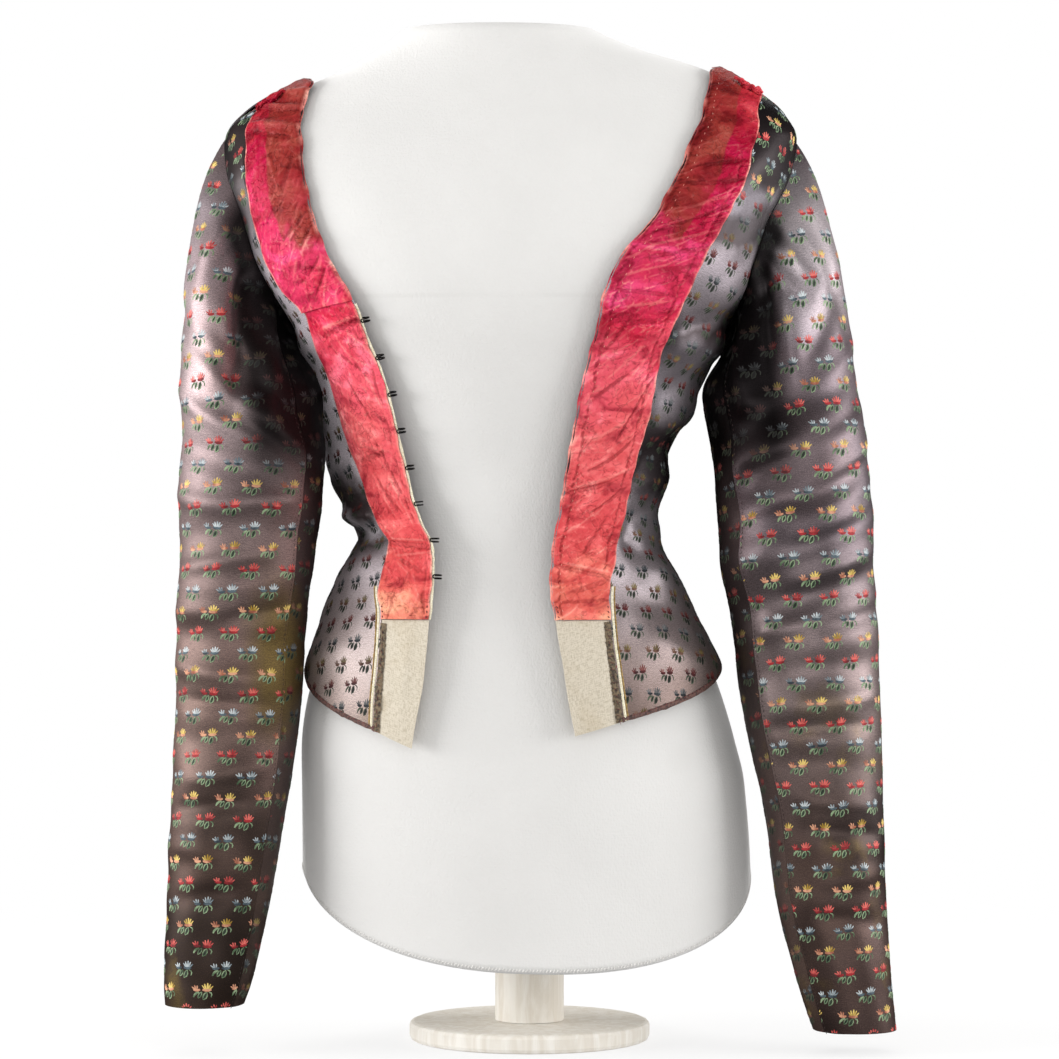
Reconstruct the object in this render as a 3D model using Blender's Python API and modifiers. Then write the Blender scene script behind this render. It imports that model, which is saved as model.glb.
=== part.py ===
# Caraco, an open-fronted jacket of brocaded satin, on a limbless dress form with a small foot.
# Metres, +Z up. The wearer faces -Y, so the wearer's left is at +X.
# The origin is the centre of the foot's underside.
import math
from collections import namedtuple

import bmesh
import bpy
import numpy as np

MM = 0.001
LEFT = 1
RIGHT = -1

# Thicknesses and gaps
SATIN = 1.6 * MM
RIBBON = 1.0 * MM
LINEN = 1.2 * MM
SEAM_GAP = 0.3 * MM
LAID_GAP = 0.4 * MM
SLEEVE = 1.2 * MM
SLEEVE_RISE = 0.8 * MM
SLEEVE_INSET = 0.4 * MM
CAP_SEAM_GAP = 2.4 * MM
ARM_SEAM_GAP = 0.9 * MM

# How finely the sheets are cut up
STEPS_PER_STATION = 2
RIBBON_COLUMNS = 3
FRONT_COLUMNS = 6
BACK_COLUMNS = 7
CAP_ROWS = 8
ARM_ROWS = 22
SEAM_EASING_ROWS = 3
TOP_COLUMNS = 12
UNDER_COLUMNS = 6
FORM_COLUMNS = 32
FORM_HEM_ROWS = 3
TURNED_SIDES = 32
NORMAL_STEP = 2 * MM
SAME_POINT = 0.001 * MM

# Stations along the fronts where other pieces begin or end
RIBBON_END_STATION = 2
RIBBON_JOIN_STATION = 9
UNDERARM_STATION = 9

# Sleeve seams, as angles round the sleeve: 0 is outward, 90 the front, 180 the body side
FRONT_SEAM = 140
BACK_SEAM = -105
SLEEVE_RADIUS = 45 * MM
CUFF_FADE = 30 * MM

# Dress form, post and foot
HEM_SIDE = 122 * MM
HEM_FRONT = 56 * MM
HEM_BACK = 66 * MM
HEM_TURN = math.radians(6)
HEM_SECTIONS = 2
FORM_SEAT = 112 * MM
SEAT_SHARE = 0.3
SEAT_RISE = 0.5
POST_RADIUS = 24 * MM
FOOT_RADIUS = 84 * MM
FOOT_HEIGHT = 13 * MM
FOOT_BEVEL = 3 * MM
BEVEL_STEPS = 2

# Hooks on the right front edge. The line runs along the cloth past its edge, and out from its inner face
HOOK_COUNT = 8
HOOK_TOP = 497 * MM
HOOK_BOTTOM = 324 * MM
HOOK_WIRE = 0.55 * MM
HookPoint = namedtuple("HookPoint", "past out")
HOOK_LINE = (
    HookPoint(-6.0, -1.0),
    HookPoint(4.2, -1.0),
    HookPoint(5.8, -0.4),
    HookPoint(6.5, 1.0),
    HookPoint(5.8, 2.4),
    HookPoint(4.2, 3.0),
    HookPoint(2.2, 2.9),
)

# Crumpled ribbon ends on the shoulders
END_RADIUS = 1.6 * MM
END_STEPS = 5
END_INNER = 0.6
END_ROWS_DOWN = 4

# Heights, widths and depths of the form in millimetres, from the hem to the neck
FormSection = namedtuple("FormSection", "height centre_x half_width front_depth back_depth power")
FORM_SECTIONS = (
    FormSection(40, -2.0, 155.0, 97.0, 105.0, 2.3),
    FormSection(110, -2.0, 156.5, 101.0, 111.0, 2.3),
    FormSection(180, -4.5, 154.5, 102.0, 114.0, 2.3),
    FormSection(210, -8.0, 151.0, 100.0, 112.0, 2.3),
    FormSection(236, -10.0, 145.5, 97.0, 108.0, 2.3),
    FormSection(258, -11.0, 138.5, 94.0, 102.0, 2.3),
    FormSection(279, -12.0, 130.0, 90.5, 95.0, 2.25),
    FormSection(321, -13.5, 111.0, 81.0, 78.0, 2.2),
    FormSection(352, -14.6, 101.0, 77.0, 68.0, 2.2),
    FormSection(390, -13.5, 103.0, 82.0, 68.0, 2.2),
    FormSection(426, -13.0, 112.0, 92.0, 73.0, 2.3),
    FormSection(466, -12.5, 127.0, 104.0, 81.0, 2.4),
    FormSection(500, -13.0, 146.0, 113.0, 89.0, 2.6),
    FormSection(520, -14.0, 159.0, 115.0, 93.0, 2.75),
    FormSection(545, -15.0, 172.0, 112.0, 96.0, 2.9),
    FormSection(575, -14.5, 181.0, 104.0, 97.0, 3.0),
    FormSection(605, -12.0, 188.0, 92.0, 95.0, 3.0),
    FormSection(628, -9.5, 189.0, 79.0, 89.0, 2.9),
    FormSection(640, -8.5, 183.0, 72.0, 84.0, 2.75),
    FormSection(654, -7.5, 169.0, 64.0, 79.0, 2.6),
    FormSection(664, -5.0, 153.0, 59.0, 76.0, 2.5),
    FormSection(672, -3.0, 137.0, 55.0, 73.0, 2.4),
    FormSection(680, -5.0, 119.0, 52.0, 70.0, 2.3),
    FormSection(688, -12.0, 98.0, 49.0, 67.0, 2.2),
    FormSection(698, -18.5, 78.0, 46.5, 64.0, 2.15),
    FormSection(705, -21.5, 67.0, 45.0, 62.0, 2.1),
)

# Each front, from the hem up to the shoulder: the free edge and the ribbon's outer border as height
# and x, the side seam and armhole as angle and height, and how far the cloth stands off the form
FrontStation = namedtuple(
    "FrontStation",
    "edge_z edge_x border_z border_x side_angle side_z edge_ease border_ease",
)
FRONT_LEFT = (
    FrontStation(216, 32, 225, 64, 95, 265, 10, 9),
    FrontStation(256, 25, 256, 60, 95, 283, 12, 10),
    FrontStation(291, 19, 291, 56, 95, 305, 15, 12),
    FrontStation(316, 16, 316, 56, 95, 324, 17, 13),
    FrontStation(341, 18, 338, 60, 95, 345, 18, 13),
    FrontStation(369, 22, 369, 65, 95, 370, 16, 11),
    FrontStation(396, 26, 396, 70, 95, 396, 13, 9),
    FrontStation(436, 33, 436, 81, 95, 432, 10, 8),
    FrontStation(483, 44, 480, 90, 95, 470, 7, 6),
    FrontStation(513, 51, 507, 102, 95, 497, 6, 5),
    FrontStation(534, 60, 530, 113, 83, 512, 5, 4.5),
    FrontStation(570, 89, 559, 129, 72, 538, 4.5, 4),
    FrontStation(597, 103, 587, 144, 71, 562, 4, 3.5),
    FrontStation(622, 113, 612, 152, 77, 585, 3.5, 3.5),
    FrontStation(650, 123, 637, 157, 83, 605, 3.5, 3.5),
    FrontStation(662, 126, 648, 160, 86, 616, 3.5, 3.5),
    FrontStation(670, 127, 654, 161, 88, 623, 3.5, 3.5),
    FrontStation(675, 180, 658, 200, 90, 627, 3.5, 3.5),
)
FRONT_RIGHT = (
    FrontStation(208, -81, 219, -106, -95, 265, 10, 9),
    FrontStation(256, -73, 256, -104, -95, 283, 12, 10),
    FrontStation(291, -70, 291, -102, -95, 305, 15, 12),
    FrontStation(316, -68, 316, -103, -95, 324, 17, 13),
    FrontStation(341, -68, 342, -96, -95, 345, 18, 13),
    FrontStation(364, -76, 360, -103, -95, 370, 16, 11),
    FrontStation(395, -84, 392, -114, -95, 396, 13, 10),
    FrontStation(436, -93, 432, -128, -95, 432, 10, 9),
    FrontStation(483, -108, 478, -143, -95, 470, 7, 6),
    FrontStation(513, -120, 508, -153, -95, 497, 6, 5),
    FrontStation(531, -131, 523, -168, -86, 512, 5, 4.5),
    FrontStation(555, -143, 546, -180, -79, 538, 4.5, 4),
    FrontStation(585, -152, 575, -189, -77, 562, 4, 3.5),
    FrontStation(612, -156, 600, -193, -77, 585, 3.5, 3.5),
    FrontStation(636, -157, 622, -194, -83, 605, 3.5, 3.5),
    FrontStation(651, -155, 636, -192, -86, 616, 3.5, 3.5),
    FrontStation(661, -151, 645, -186, -88, 623, 3.5, 3.5),
    FrontStation(667, -180, 650, -200, -90, 627, 3.5, 3.5),
)

# Each back, from the hem up: centre seam then neckline, and side seam then armhole
BackStation = namedtuple("BackStation", "inner_angle inner_left inner_right side_angle side_z")
BACK_STATIONS = (
    BackStation(180, 240, 240, 95, 265),
    BackStation(180, 274, 274, 95, 283),
    BackStation(180, 302, 302, 95, 305),
    BackStation(180, 324, 324, 95, 324),
    BackStation(180, 345, 345, 95, 345),
    BackStation(180, 370, 370, 95, 370),
    BackStation(180, 397, 397, 95, 396),
    BackStation(180, 437, 437, 95, 432),
    BackStation(180, 480, 480, 95, 470),
    BackStation(180, 520, 520, 95, 497),
    BackStation(180, 556, 556, 99, 512),
    BackStation(180, 592, 592, 106, 535),
    BackStation(180, 618, 618, 110, 559),
    BackStation(161, 637, 635, 109, 582),
    BackStation(135, 652, 648, 103, 602),
    BackStation(112, 664, 658, 97, 615),
    BackStation(98, 671, 664, 93, 623),
    BackStation(90, 675, 667, 90, 627),
)
BACK_EASE = 3.5

# How far the cloth stands off the form down each side and over the end of each shoulder
SideEase = namedtuple("SideEase", "height right left")
SIDE_EASE = (
    SideEase(225, 3.0, 3.0),
    SideEase(250, 3.0, 3.0),
    SideEase(275, 5.5, 5.0),
    SideEase(303, 9.0, 6.0),
    SideEase(345, 3.0, 2.0),
    SideEase(370, 12.0, 2.0),
    SideEase(393, 22.0, 2.0),
    SideEase(411, 22.0, 2.5),
    SideEase(428, 20.0, 5.0),
    SideEase(447, 17.5, 7.5),
    SideEase(470, 15.0, 9.0),
    SideEase(484, 11.5, 7.0),
    SideEase(497, 4.5, 4.5),
    SideEase(520, 3.5, 3.5),
    SideEase(560, 4.0, 3.5),
    SideEase(600, 9.0, 4.5),
    SideEase(627, 13.0, 6.0),
)

# Each sleeve below the armpit, down to the cuff
SleeveSection = namedtuple("SleeveSection", "height centre_x centre_y half_width half_depth")
SLEEVE_LEFT = (
    SleeveSection(446, 175.0, -22, 54.7, 48.0),
    SleeveSection(411, 180.0, -27, 54.4, 48.0),
    SleeveSection(376, 183.0, -31, 53.6, 47.0),
    SleeveSection(340, 184.5, -34, 53.6, 46.5),
    SleeveSection(293, 189.7, -37, 50.8, 45.0),
    SleeveSection(245, 193.0, -41, 48.4, 43.0),
    SleeveSection(201, 197.5, -45, 45.0, 41.0),
    SleeveSection(162, 202.3, -49, 40.6, 38.0),
    SleeveSection(107, 206.2, -55, 38.0, 35.0),
    SleeveSection(62, 212.7, -60, 33.8, 32.0),
    SleeveSection(33, 218.2, -63, 30.8, 29.5),
    SleeveSection(15, 222.0, -64, 28.5, 28.0),
)
SLEEVE_RIGHT = (
    SleeveSection(446, -195.5, -24, 46.5, 46.0),
    SleeveSection(411, -191.5, -29, 50.3, 46.0),
    SleeveSection(376, -192.6, -32, 49.6, 45.5),
    SleeveSection(335, -195.4, -35, 46.8, 44.0),
    SleeveSection(286, -199.0, -38, 44.7, 42.0),
    SleeveSection(241, -200.2, -41, 43.4, 40.5),
    SleeveSection(201, -203.1, -45, 41.8, 39.0),
    SleeveSection(147, -208.5, -50, 38.5, 36.5),
    SleeveSection(85, -214.9, -57, 33.9, 32.5),
    SleeveSection(46, -220.1, -61, 29.9, 29.5),
    SleeveSection(32, -222.0, -62, 27.0, 28.0),
)

# The directions in which the sleeve leaves the armhole, and how strongly
CAP_TOP_PULL = 140 * MM
CAP_UNDER_PULL = 60 * MM
CAP_TOP_SLOPE = 54.0
CAP_UNDER_SLOPE = 75.0
CAP_SPREAD = 0.3
ARM_PULL = 190 * MM
ARM_UNDER_PULL = 55 * MM

# The largest folds of the sleeves: where they lie round and along the sleeve, how steeply they climb
# towards the body, and their length, width and depth. A ridge has a positive depth, a trough a negative one
Fold = namedtuple("Fold", "round_angle height slope length width depth")
FOLDS_LEFT = (
    Fold(70, 452, -28, 130, 15, -4.0),
    Fold(80, 418, -26, 140, 13, 3.0),
    Fold(75, 384, -24, 130, 13, -4.0),
    Fold(85, 348, -20, 120, 13, 2.5),
    Fold(80, 312, -14, 110, 13, -3.0),
    Fold(70, 262, -8, 100, 12, -2.5),
    Fold(85, 196, 6, 90, 12, -2.0),
    Fold(-80, 410, 20, 110, 14, -3.5),
    Fold(-70, 330, 12, 110, 14, -3.0),
)
FOLDS_RIGHT = (
    Fold(92, 442, -46, 90, 10, 3.5),
    Fold(112, 452, -50, 90, 12, -4.5),
    Fold(60, 405, -20, 100, 12, -3.0),
    Fold(85, 352, 4, 100, 13, -3.0),
    Fold(80, 318, 6, 100, 12, 2.0),
    Fold(75, 280, -5, 100, 13, -3.0),
    Fold(90, 215, 4, 90, 12, -2.0),
    Fold(-80, 400, 20, 110, 14, -3.5),
    Fold(-75, 320, 10, 110, 14, -3.0),
)

# Colour, roughness and metallic value of each material
Finish = namedtuple("Finish", "colour roughness metallic")
FINISHES = {
    "brocaded_satin": Finish((0.17, 0.13, 0.145), 0.38, 0.0),
    "silk_ribbon": Finish((0.66, 0.07, 0.10), 0.45, 0.0),
    "linen": Finish((0.62, 0.55, 0.43), 0.90, 0.0),
    "form_cover": Finish((0.82, 0.80, 0.77), 0.95, 0.0),
    "pale_wood": Finish((0.78, 0.75, 0.70), 0.60, 0.0),
    "black_wire": Finish((0.02, 0.02, 0.022), 0.35, 0.8),
}


def curve_through(places, values):
    """A smooth function through points given in rising order of place, without overshoot."""
    places = np.asarray(places, float)
    values = np.asarray(values, float)
    steps = np.diff(places)
    rises = np.diff(values) / steps
    slopes = np.zeros_like(values)
    slopes[0] = rises[0]
    slopes[-1] = rises[-1]
    for i in range(1, len(places) - 1):
        product = rises[i - 1] * rises[i]
        if product > 0:
            slopes[i] = 2 * product / (rises[i - 1] + rises[i])

    def at(place):
        place = np.asarray(place, float)
        i = np.clip(np.searchsorted(places, place) - 1, 0, len(steps) - 1)
        share = np.clip((place - places[i]) / steps[i], 0, 1)
        return hermite(values[i], slopes[i] * steps[i], values[i + 1], slopes[i + 1] * steps[i], share)

    return at


def hermite(start, start_pull, end, end_pull, share):
    """The cubic that leaves start along start_pull and reaches end along end_pull."""
    return (
        start * (1 + 2 * share) * (1 - share) ** 2
        + start_pull * share * (1 - share) ** 2
        + end * share**2 * (3 - 2 * share)
        + end_pull * share**2 * (share - 1)
    )


def by_height(table, column, scale=MM):
    """One column of a table as a smooth function of height in metres."""
    rows = sorted(table, key=lambda row: row.height)
    return curve_through(
        [row.height * MM for row in rows],
        [getattr(row, column) * scale for row in rows],
    )


def stepped(values):
    """Values given at the stations, read at evenly spaced steps between them."""
    count = (len(values) - 1) * STEPS_PER_STATION + 1
    return curve_through(range(len(values)), values)(np.linspace(0, len(values) - 1, count))


def column_of(table, column, scale=MM):
    return np.array([getattr(row, column) for row in table]) * scale


def by_station(table, column, scale=MM):
    """One column of a table of stations, read at the steps."""
    return stepped(column_of(table, column, scale))


def line_angle(table, line):
    """The angles round the form of one of the fronts' lines, which is given by its height and x."""
    height = column_of(table, line + "_z")
    x = column_of(table, line + "_x")
    return stepped(angle_at(x, height, column_of(table, line + "_ease")))


form_centre = by_height(FORM_SECTIONS, "centre_x")
form_half_width = by_height(FORM_SECTIONS, "half_width")
form_front = by_height(FORM_SECTIONS, "front_depth")
form_back = by_height(FORM_SECTIONS, "back_depth")
form_power = by_height(FORM_SECTIONS, "power", 1.0)
side_ease = {RIGHT: by_height(SIDE_EASE, "right"), LEFT: by_height(SIDE_EASE, "left")}


def form_point(angle, height):
    """A point of the form's skin. Angle 0 is the front, and a positive one is to the wearer's left."""
    sine = np.sin(angle)
    cosine = np.cos(angle)
    bend = 2 / form_power(height)
    depth = np.where(cosine > 0, form_front(height), form_back(height))
    x = form_centre(height) + form_half_width(height) * np.sign(sine) * np.abs(sine) ** bend
    y = -depth * np.sign(cosine) * np.abs(cosine) ** bend
    return np.stack(np.broadcast_arrays(x, y, height), axis=-1)


def form_normal(angle, height):
    """The direction straight out of the form's skin."""
    turn = NORMAL_STEP / form_half_width(height)
    around = form_point(angle + turn, height) - form_point(angle - turn, height)
    upward = form_point(angle, height + NORMAL_STEP) - form_point(angle, height - NORMAL_STEP)
    return unit(np.cross(around, upward))


def unit(vectors):
    return vectors / np.linalg.norm(vectors, axis=-1, keepdims=True)


def angle_at(x, height, ease):
    """The angle at which cloth that stands off by ease has the given x."""
    share = np.clip((x - form_centre(height)) / (form_half_width(height) + ease), -1, 1)
    return np.arcsin(np.sign(share) * np.abs(share) ** (form_power(height) / 2))


def cloth_point(angle, height, ease):
    return form_point(angle, height) + ease[..., None] * form_normal(angle, height)


def mixed(start, end, share):
    return start[:, None] + (end - start)[:, None] * share[None, :]


def front_sheet(table, side):
    """One front as a grid, rows from hem to shoulder and columns from the free edge to the side."""
    edge_z = by_station(table, "edge_z")
    border_z = by_station(table, "border_z")
    side_z = by_station(table, "side_z")
    edge_ease = by_station(table, "edge_ease")
    border_ease = by_station(table, "border_ease")
    edge_angle = line_angle(table, "edge")
    border_angle = line_angle(table, "border")
    side_angle = by_station(table, "side_angle", math.pi / 180)
    ribbon_share = np.linspace(0, 1, RIBBON_COLUMNS + 1)
    satin_share = np.linspace(0, 1, FRONT_COLUMNS + 1)[1:]
    angle = np.hstack([
        mixed(edge_angle, border_angle, ribbon_share),
        mixed(border_angle, side_angle, satin_share),
    ])
    height = np.hstack([
        mixed(edge_z, border_z, ribbon_share),
        mixed(border_z, side_z, satin_share),
    ])
    ease = np.hstack([
        mixed(edge_ease, border_ease, ribbon_share),
        mixed(border_ease, side_ease[side](side_z), satin_share),
    ])
    return cloth_point(angle, height, ease)


def back_sheet(side):
    """One back as a grid, columns from the centre seam to the side."""
    inner_z = by_station(BACK_STATIONS, "inner_left" if side == LEFT else "inner_right")
    side_z = by_station(BACK_STATIONS, "side_z")
    inner_angle = by_station(BACK_STATIONS, "inner_angle", math.pi / 180)
    side_angle = by_station(BACK_STATIONS, "side_angle", math.pi / 180)
    share = np.linspace(0, 1, BACK_COLUMNS + 1)
    angle = side * mixed(inner_angle, side_angle, share)
    height = mixed(inner_z, side_z, share)
    inner_ease = np.full_like(inner_z, BACK_EASE * MM)
    ease = mixed(inner_ease, side_ease[side](side_z), share)
    return cloth_point(angle, height, ease)


def sheet_normals(points):
    """The directions straight out of a sheet through a grid of points, away from the body's axis."""
    shape, row_layer, column_layer = grid_shape(points)
    shape.normal_update()
    normals = np.zeros_like(points)
    for vertex in shape.verts:
        normals[vertex[row_layer], vertex[column_layer]] = vertex.normal
    shape.free()
    if np.sum(normals * (points - body_axis(points))) < 0:
        normals = -normals
    return normals


def body_axis(points):
    axis = np.zeros_like(points)
    axis[..., 2] = points[..., 2]
    return axis


def drawn_in(points, last_row=0.0, first_column=0.0, last_column=0.0):
    """The same grid with its edges drawn in by the given distances."""
    points = points.copy()
    points[-1] += unit(points[-2] - points[-1]) * last_row
    points[:, 0] += unit(points[:, 1] - points[:, 0]) * first_column
    points[:, -1] += unit(points[:, -2] - points[:, -1]) * last_column
    return points


def fold_height(folds, arc, height):
    """How far the largest folds lift or sink the cloth at a place round and along a sleeve."""
    total = np.zeros_like(height)
    for fold in folds:
        slope = math.radians(fold.slope)
        sideways = arc - math.radians(fold.round_angle)
        sideways = (sideways + math.pi) % (2 * math.pi) - math.pi
        sideways = sideways * SLEEVE_RADIUS
        upward = height - fold.height * MM
        along = sideways * math.cos(slope) + upward * math.sin(slope)
        across = upward * math.cos(slope) - sideways * math.sin(slope)
        spread = (2 * along / (fold.length * MM)) ** 2 + (across / (fold.width * MM)) ** 2
        total += fold.depth * MM * np.exp(-spread)
    return total


def armhole(front, back):
    """The armhole's points from the shoulder down the front and up the back, with outward directions."""
    first = UNDERARM_STATION * STEPS_PER_STATION
    front_out = sheet_normals(front)[first:, -1]
    back_out = sheet_normals(back)[first:, -1]
    return front[first:, -1][::-1], front_out[::-1], back[first:, -1], back_out


def along_line(points, share):
    """Points at given shares of a line's length."""
    lengths = np.linalg.norm(np.diff(points, axis=0), axis=1)
    places = np.concatenate([[0], np.cumsum(lengths)])
    return np.stack([np.interp(share * places[-1], places, points[:, k]) for k in range(3)], axis=-1)


def sleeve_start(front, back, arc):
    """Where the sleeve leaves the armhole, for angles round the sleeve between -180 and 180 degrees."""
    front_line, front_out, back_line, back_out = armhole(front, back)
    middle = np.concatenate([front_line, back_line]).mean(axis=0)
    share = np.abs(arc) / math.pi
    on_front = (arc >= 0)[:, None]
    place = np.where(on_front, along_line(front_line, share), along_line(back_line, 1 - share))
    lift = np.where(on_front, along_line(front_out, share), along_line(back_out, 1 - share))
    inward = unit(middle - place)
    return place + unit(lift) * (SATIN + SLEEVE_RISE) + inward * SLEEVE_INSET


def sleeve_sheet(table, folds, side, front, back, arc):
    """Part of a sleeve's outer face, rows from armhole to cuff and columns round the sleeve."""
    read = {name: by_height(table, name) for name in table[0]._fields[1:]}
    join = table[0].height * MM
    cuff = table[-1].height * MM

    def ring(height):
        height = np.asarray(height, float)[:, None]
        x = read["centre_x"](height) + side * read["half_width"](height) * np.cos(arc)
        y = read["centre_y"](height) - read["half_depth"](height) * np.sin(arc)
        return np.stack(np.broadcast_arrays(x, y, height), axis=-1)

    start = sleeve_start(front, back, arc)
    arm = ring(np.linspace(join, cuff, ARM_ROWS + 1))
    underness = (1 - np.cos(arc)) / 2
    slope = np.radians(CAP_TOP_SLOPE + (CAP_UNDER_SLOPE - CAP_TOP_SLOPE) * underness)
    pull = CAP_TOP_PULL + (CAP_UNDER_PULL - CAP_TOP_PULL) * underness
    end_pull = ARM_PULL + (ARM_UNDER_PULL - ARM_PULL) * underness
    leaving = np.stack([side * np.cos(slope), -CAP_SPREAD * np.sin(arc), -np.sin(slope)], axis=-1)
    hanging = unit(arm[1] - arm[0])
    share = np.linspace(0, 1, CAP_ROWS + 1)[:-1, None, None]
    cap = hermite(start, leaving * pull[:, None], arm[0], hanging * end_pull[:, None], share)
    points = np.concatenate([cap, arm])
    axis = sleeve_axis(points, read, join)
    outward = unit(points - axis)
    fade = np.clip((points[..., 2] - cuff) / CUFF_FADE, 0, 1)
    fade[:CAP_ROWS] *= np.linspace(0, 1, CAP_ROWS)[:, None]
    lift = fold_height(folds, np.broadcast_to(arc, points.shape[:2]), points[..., 2]) * fade
    return points + outward * lift[..., None], axis


def sleeve_axis(points, read, join):
    """The middle of the sleeve beside each of its points."""
    height = np.minimum(points[..., 2], join)
    return np.stack([read["centre_x"](height), read["centre_y"](height), points[..., 2]], axis=-1)


def make_material(name):
    finish = FINISHES[name]
    material = bpy.data.materials.new(name)
    material.use_nodes = True
    shader = material.node_tree.nodes["Principled BSDF"]
    shader.inputs["Base Color"].default_value = (*finish.colour, 1.0)
    shader.inputs["Roughness"].default_value = finish.roughness
    shader.inputs["Metallic"].default_value = finish.metallic
    return material


def add_object(name, data, material):
    data.materials.append(bpy.data.materials.get(material) or make_material(material))
    made = bpy.data.objects.new(name, data)
    bpy.data.collections["caraco_on_dress_form"].objects.link(made)
    made.parent = bpy.data.objects["caraco_origin"]
    return made


def mesh_from(shape, name):
    mesh = bpy.data.meshes.new(name)
    shape.to_mesh(mesh)
    shape.free()
    mesh.shade_smooth()
    return mesh


def grid_shape(points):
    """A sheet of faces through a grid of points, each square cut along the same diagonal."""
    rows, columns = points.shape[:2]
    shape = bmesh.new()
    bmesh.ops.create_grid(shape, x_segments=columns - 1, y_segments=rows - 1, size=1.0)
    row_layer = shape.verts.layers.int.new("row")
    column_layer = shape.verts.layers.int.new("column")
    for vertex in shape.verts:
        vertex[row_layer] = round((vertex.co.y + 1) / 2 * (rows - 1))
        vertex[column_layer] = round((vertex.co.x + 1) / 2 * (columns - 1))
        vertex.co = points[vertex[row_layer], vertex[column_layer]]
    bmesh.ops.triangulate(shape, faces=shape.faces, quad_method="FIXED")
    return shape, row_layer, column_layer


def sewn_piece(name, points, axis, thickness, grow, material, cut_rows=0, cut_columns=0):
    """A piece of cloth: a sheet through the points, thickened away from the axis (1) or towards it (-1)."""
    shape, row_layer, column_layer = grid_shape(points)
    cut = [
        face
        for face in shape.faces
        if max(v[row_layer] for v in face.verts) <= cut_rows
        and max(v[column_layer] for v in face.verts) <= cut_columns
    ]
    bmesh.ops.delete(shape, geom=cut, context="FACES")
    shape.normal_update()
    facing = sum(
        face.normal[k] * (vertex.co[k] - axis[vertex[row_layer], vertex[column_layer]][k])
        for face in shape.faces
        for vertex in face.verts
        for k in range(3)
    )
    if facing < 0:
        bmesh.ops.reverse_faces(shape, faces=shape.faces)
    made = add_object(name, mesh_from(shape, name), material)
    wall = made.modifiers.new("wall", "SOLIDIFY")
    wall.thickness = thickness
    wall.offset = grow
    return made


def make_body_panels():
    """Both fronts and both backs. Returns the sheets that other pieces are laid on or start from."""
    half_gap = SEAM_GAP / 2
    sheets = {}
    for side, name, table in ((RIGHT, "right", FRONT_RIGHT), (LEFT, "left", FRONT_LEFT)):
        front = front_sheet(table, side)
        back = back_sheet(side)
        sheets[name] = (front, back)
        sewn_piece(
            "front_" + name,
            drawn_in(front, last_row=SEAM_GAP, last_column=half_gap),
            body_axis(front),
            SATIN,
            1,
            "brocaded_satin",
            cut_rows=RIBBON_END_STATION * STEPS_PER_STATION,
            cut_columns=RIBBON_COLUMNS,
        )
        sewn_piece(
            "back_" + name,
            drawn_in(back, last_row=SEAM_GAP, first_column=half_gap, last_column=half_gap),
            body_axis(back),
            SATIN,
            1,
            "brocaded_satin",
        )
    return sheets


def make_linen(sheets):
    """The linen strips that carry on below the ribbons along the free edges."""
    last = RIBBON_END_STATION * STEPS_PER_STATION + 1
    for name, (front, _) in sheets.items():
        strip = front[:last, : RIBBON_COLUMNS + 1]
        strip = drawn_in(strip, last_row=SEAM_GAP, last_column=SEAM_GAP)
        sewn_piece("linen_" + name, strip, body_axis(strip), LINEN, 1, "linen")


def make_ribbons(sheets):
    """The silk ribbons, laid on the fronts from the shoulder down. The right one is pieced."""
    first = RIBBON_END_STATION * STEPS_PER_STATION
    join = RIBBON_JOIN_STATION * STEPS_PER_STATION
    for name, (front, _) in sheets.items():
        laid = front + sheet_normals(front) * (SATIN + LAID_GAP)
        laid = laid[:, : RIBBON_COLUMNS + 1]
        pieces = {"ribbon_left": laid[first:]}
        if name == "right":
            pieces = {
                "ribbon_right_lower": drawn_in(laid[first : join + 1], last_row=SEAM_GAP),
                "ribbon_right_upper": laid[join:],
            }
        for piece, points in pieces.items():
            points = drawn_in(points, last_row=SEAM_GAP)
            sewn_piece(piece, points, body_axis(points), RIBBON, 1, "silk_ribbon")


def make_sleeves(sheets):
    """Both sleeves, each a top piece and an under piece that meet at two seams."""
    row = np.arange(CAP_ROWS + ARM_ROWS + 1)
    eased = np.interp(row, [CAP_ROWS, CAP_ROWS + SEAM_EASING_ROWS], [CAP_SEAM_GAP, ARM_SEAM_GAP])
    half_gap = eased[:, None] / 2
    for side, name, table, folds in (
        (RIGHT, "right", SLEEVE_RIGHT, FOLDS_RIGHT),
        (LEFT, "left", SLEEVE_LEFT, FOLDS_LEFT),
    ):
        spans = {
            "top": np.linspace(BACK_SEAM, FRONT_SEAM, TOP_COLUMNS + 1),
            "under": np.linspace(FRONT_SEAM, BACK_SEAM + 360, UNDER_COLUMNS + 1),
        }
        for part, degrees in spans.items():
            arc = np.radians((degrees + 180) % 360 - 180)
            points, axis = sleeve_sheet(table, folds, side, *sheets[name], arc)
            points = drawn_in(points, first_column=half_gap, last_column=half_gap)
            sewn_piece(f"sleeve_{name}_{part}", points, axis, SLEEVE, -1, "brocaded_satin")


def wire(name, points, radius, material):
    """A bent wire or roll along points, with closed ends."""
    curve = bpy.data.curves.new(name, "CURVE")
    curve.dimensions = "3D"
    curve.bevel_depth = radius
    curve.bevel_resolution = 1
    curve.use_fill_caps = True
    line = curve.splines.new("POLY")
    line.points.add(len(points) - 1)
    for place, point in zip(line.points, points):
        place.co = (*point, 1.0)
    return add_object(name, curve, material)


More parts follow.
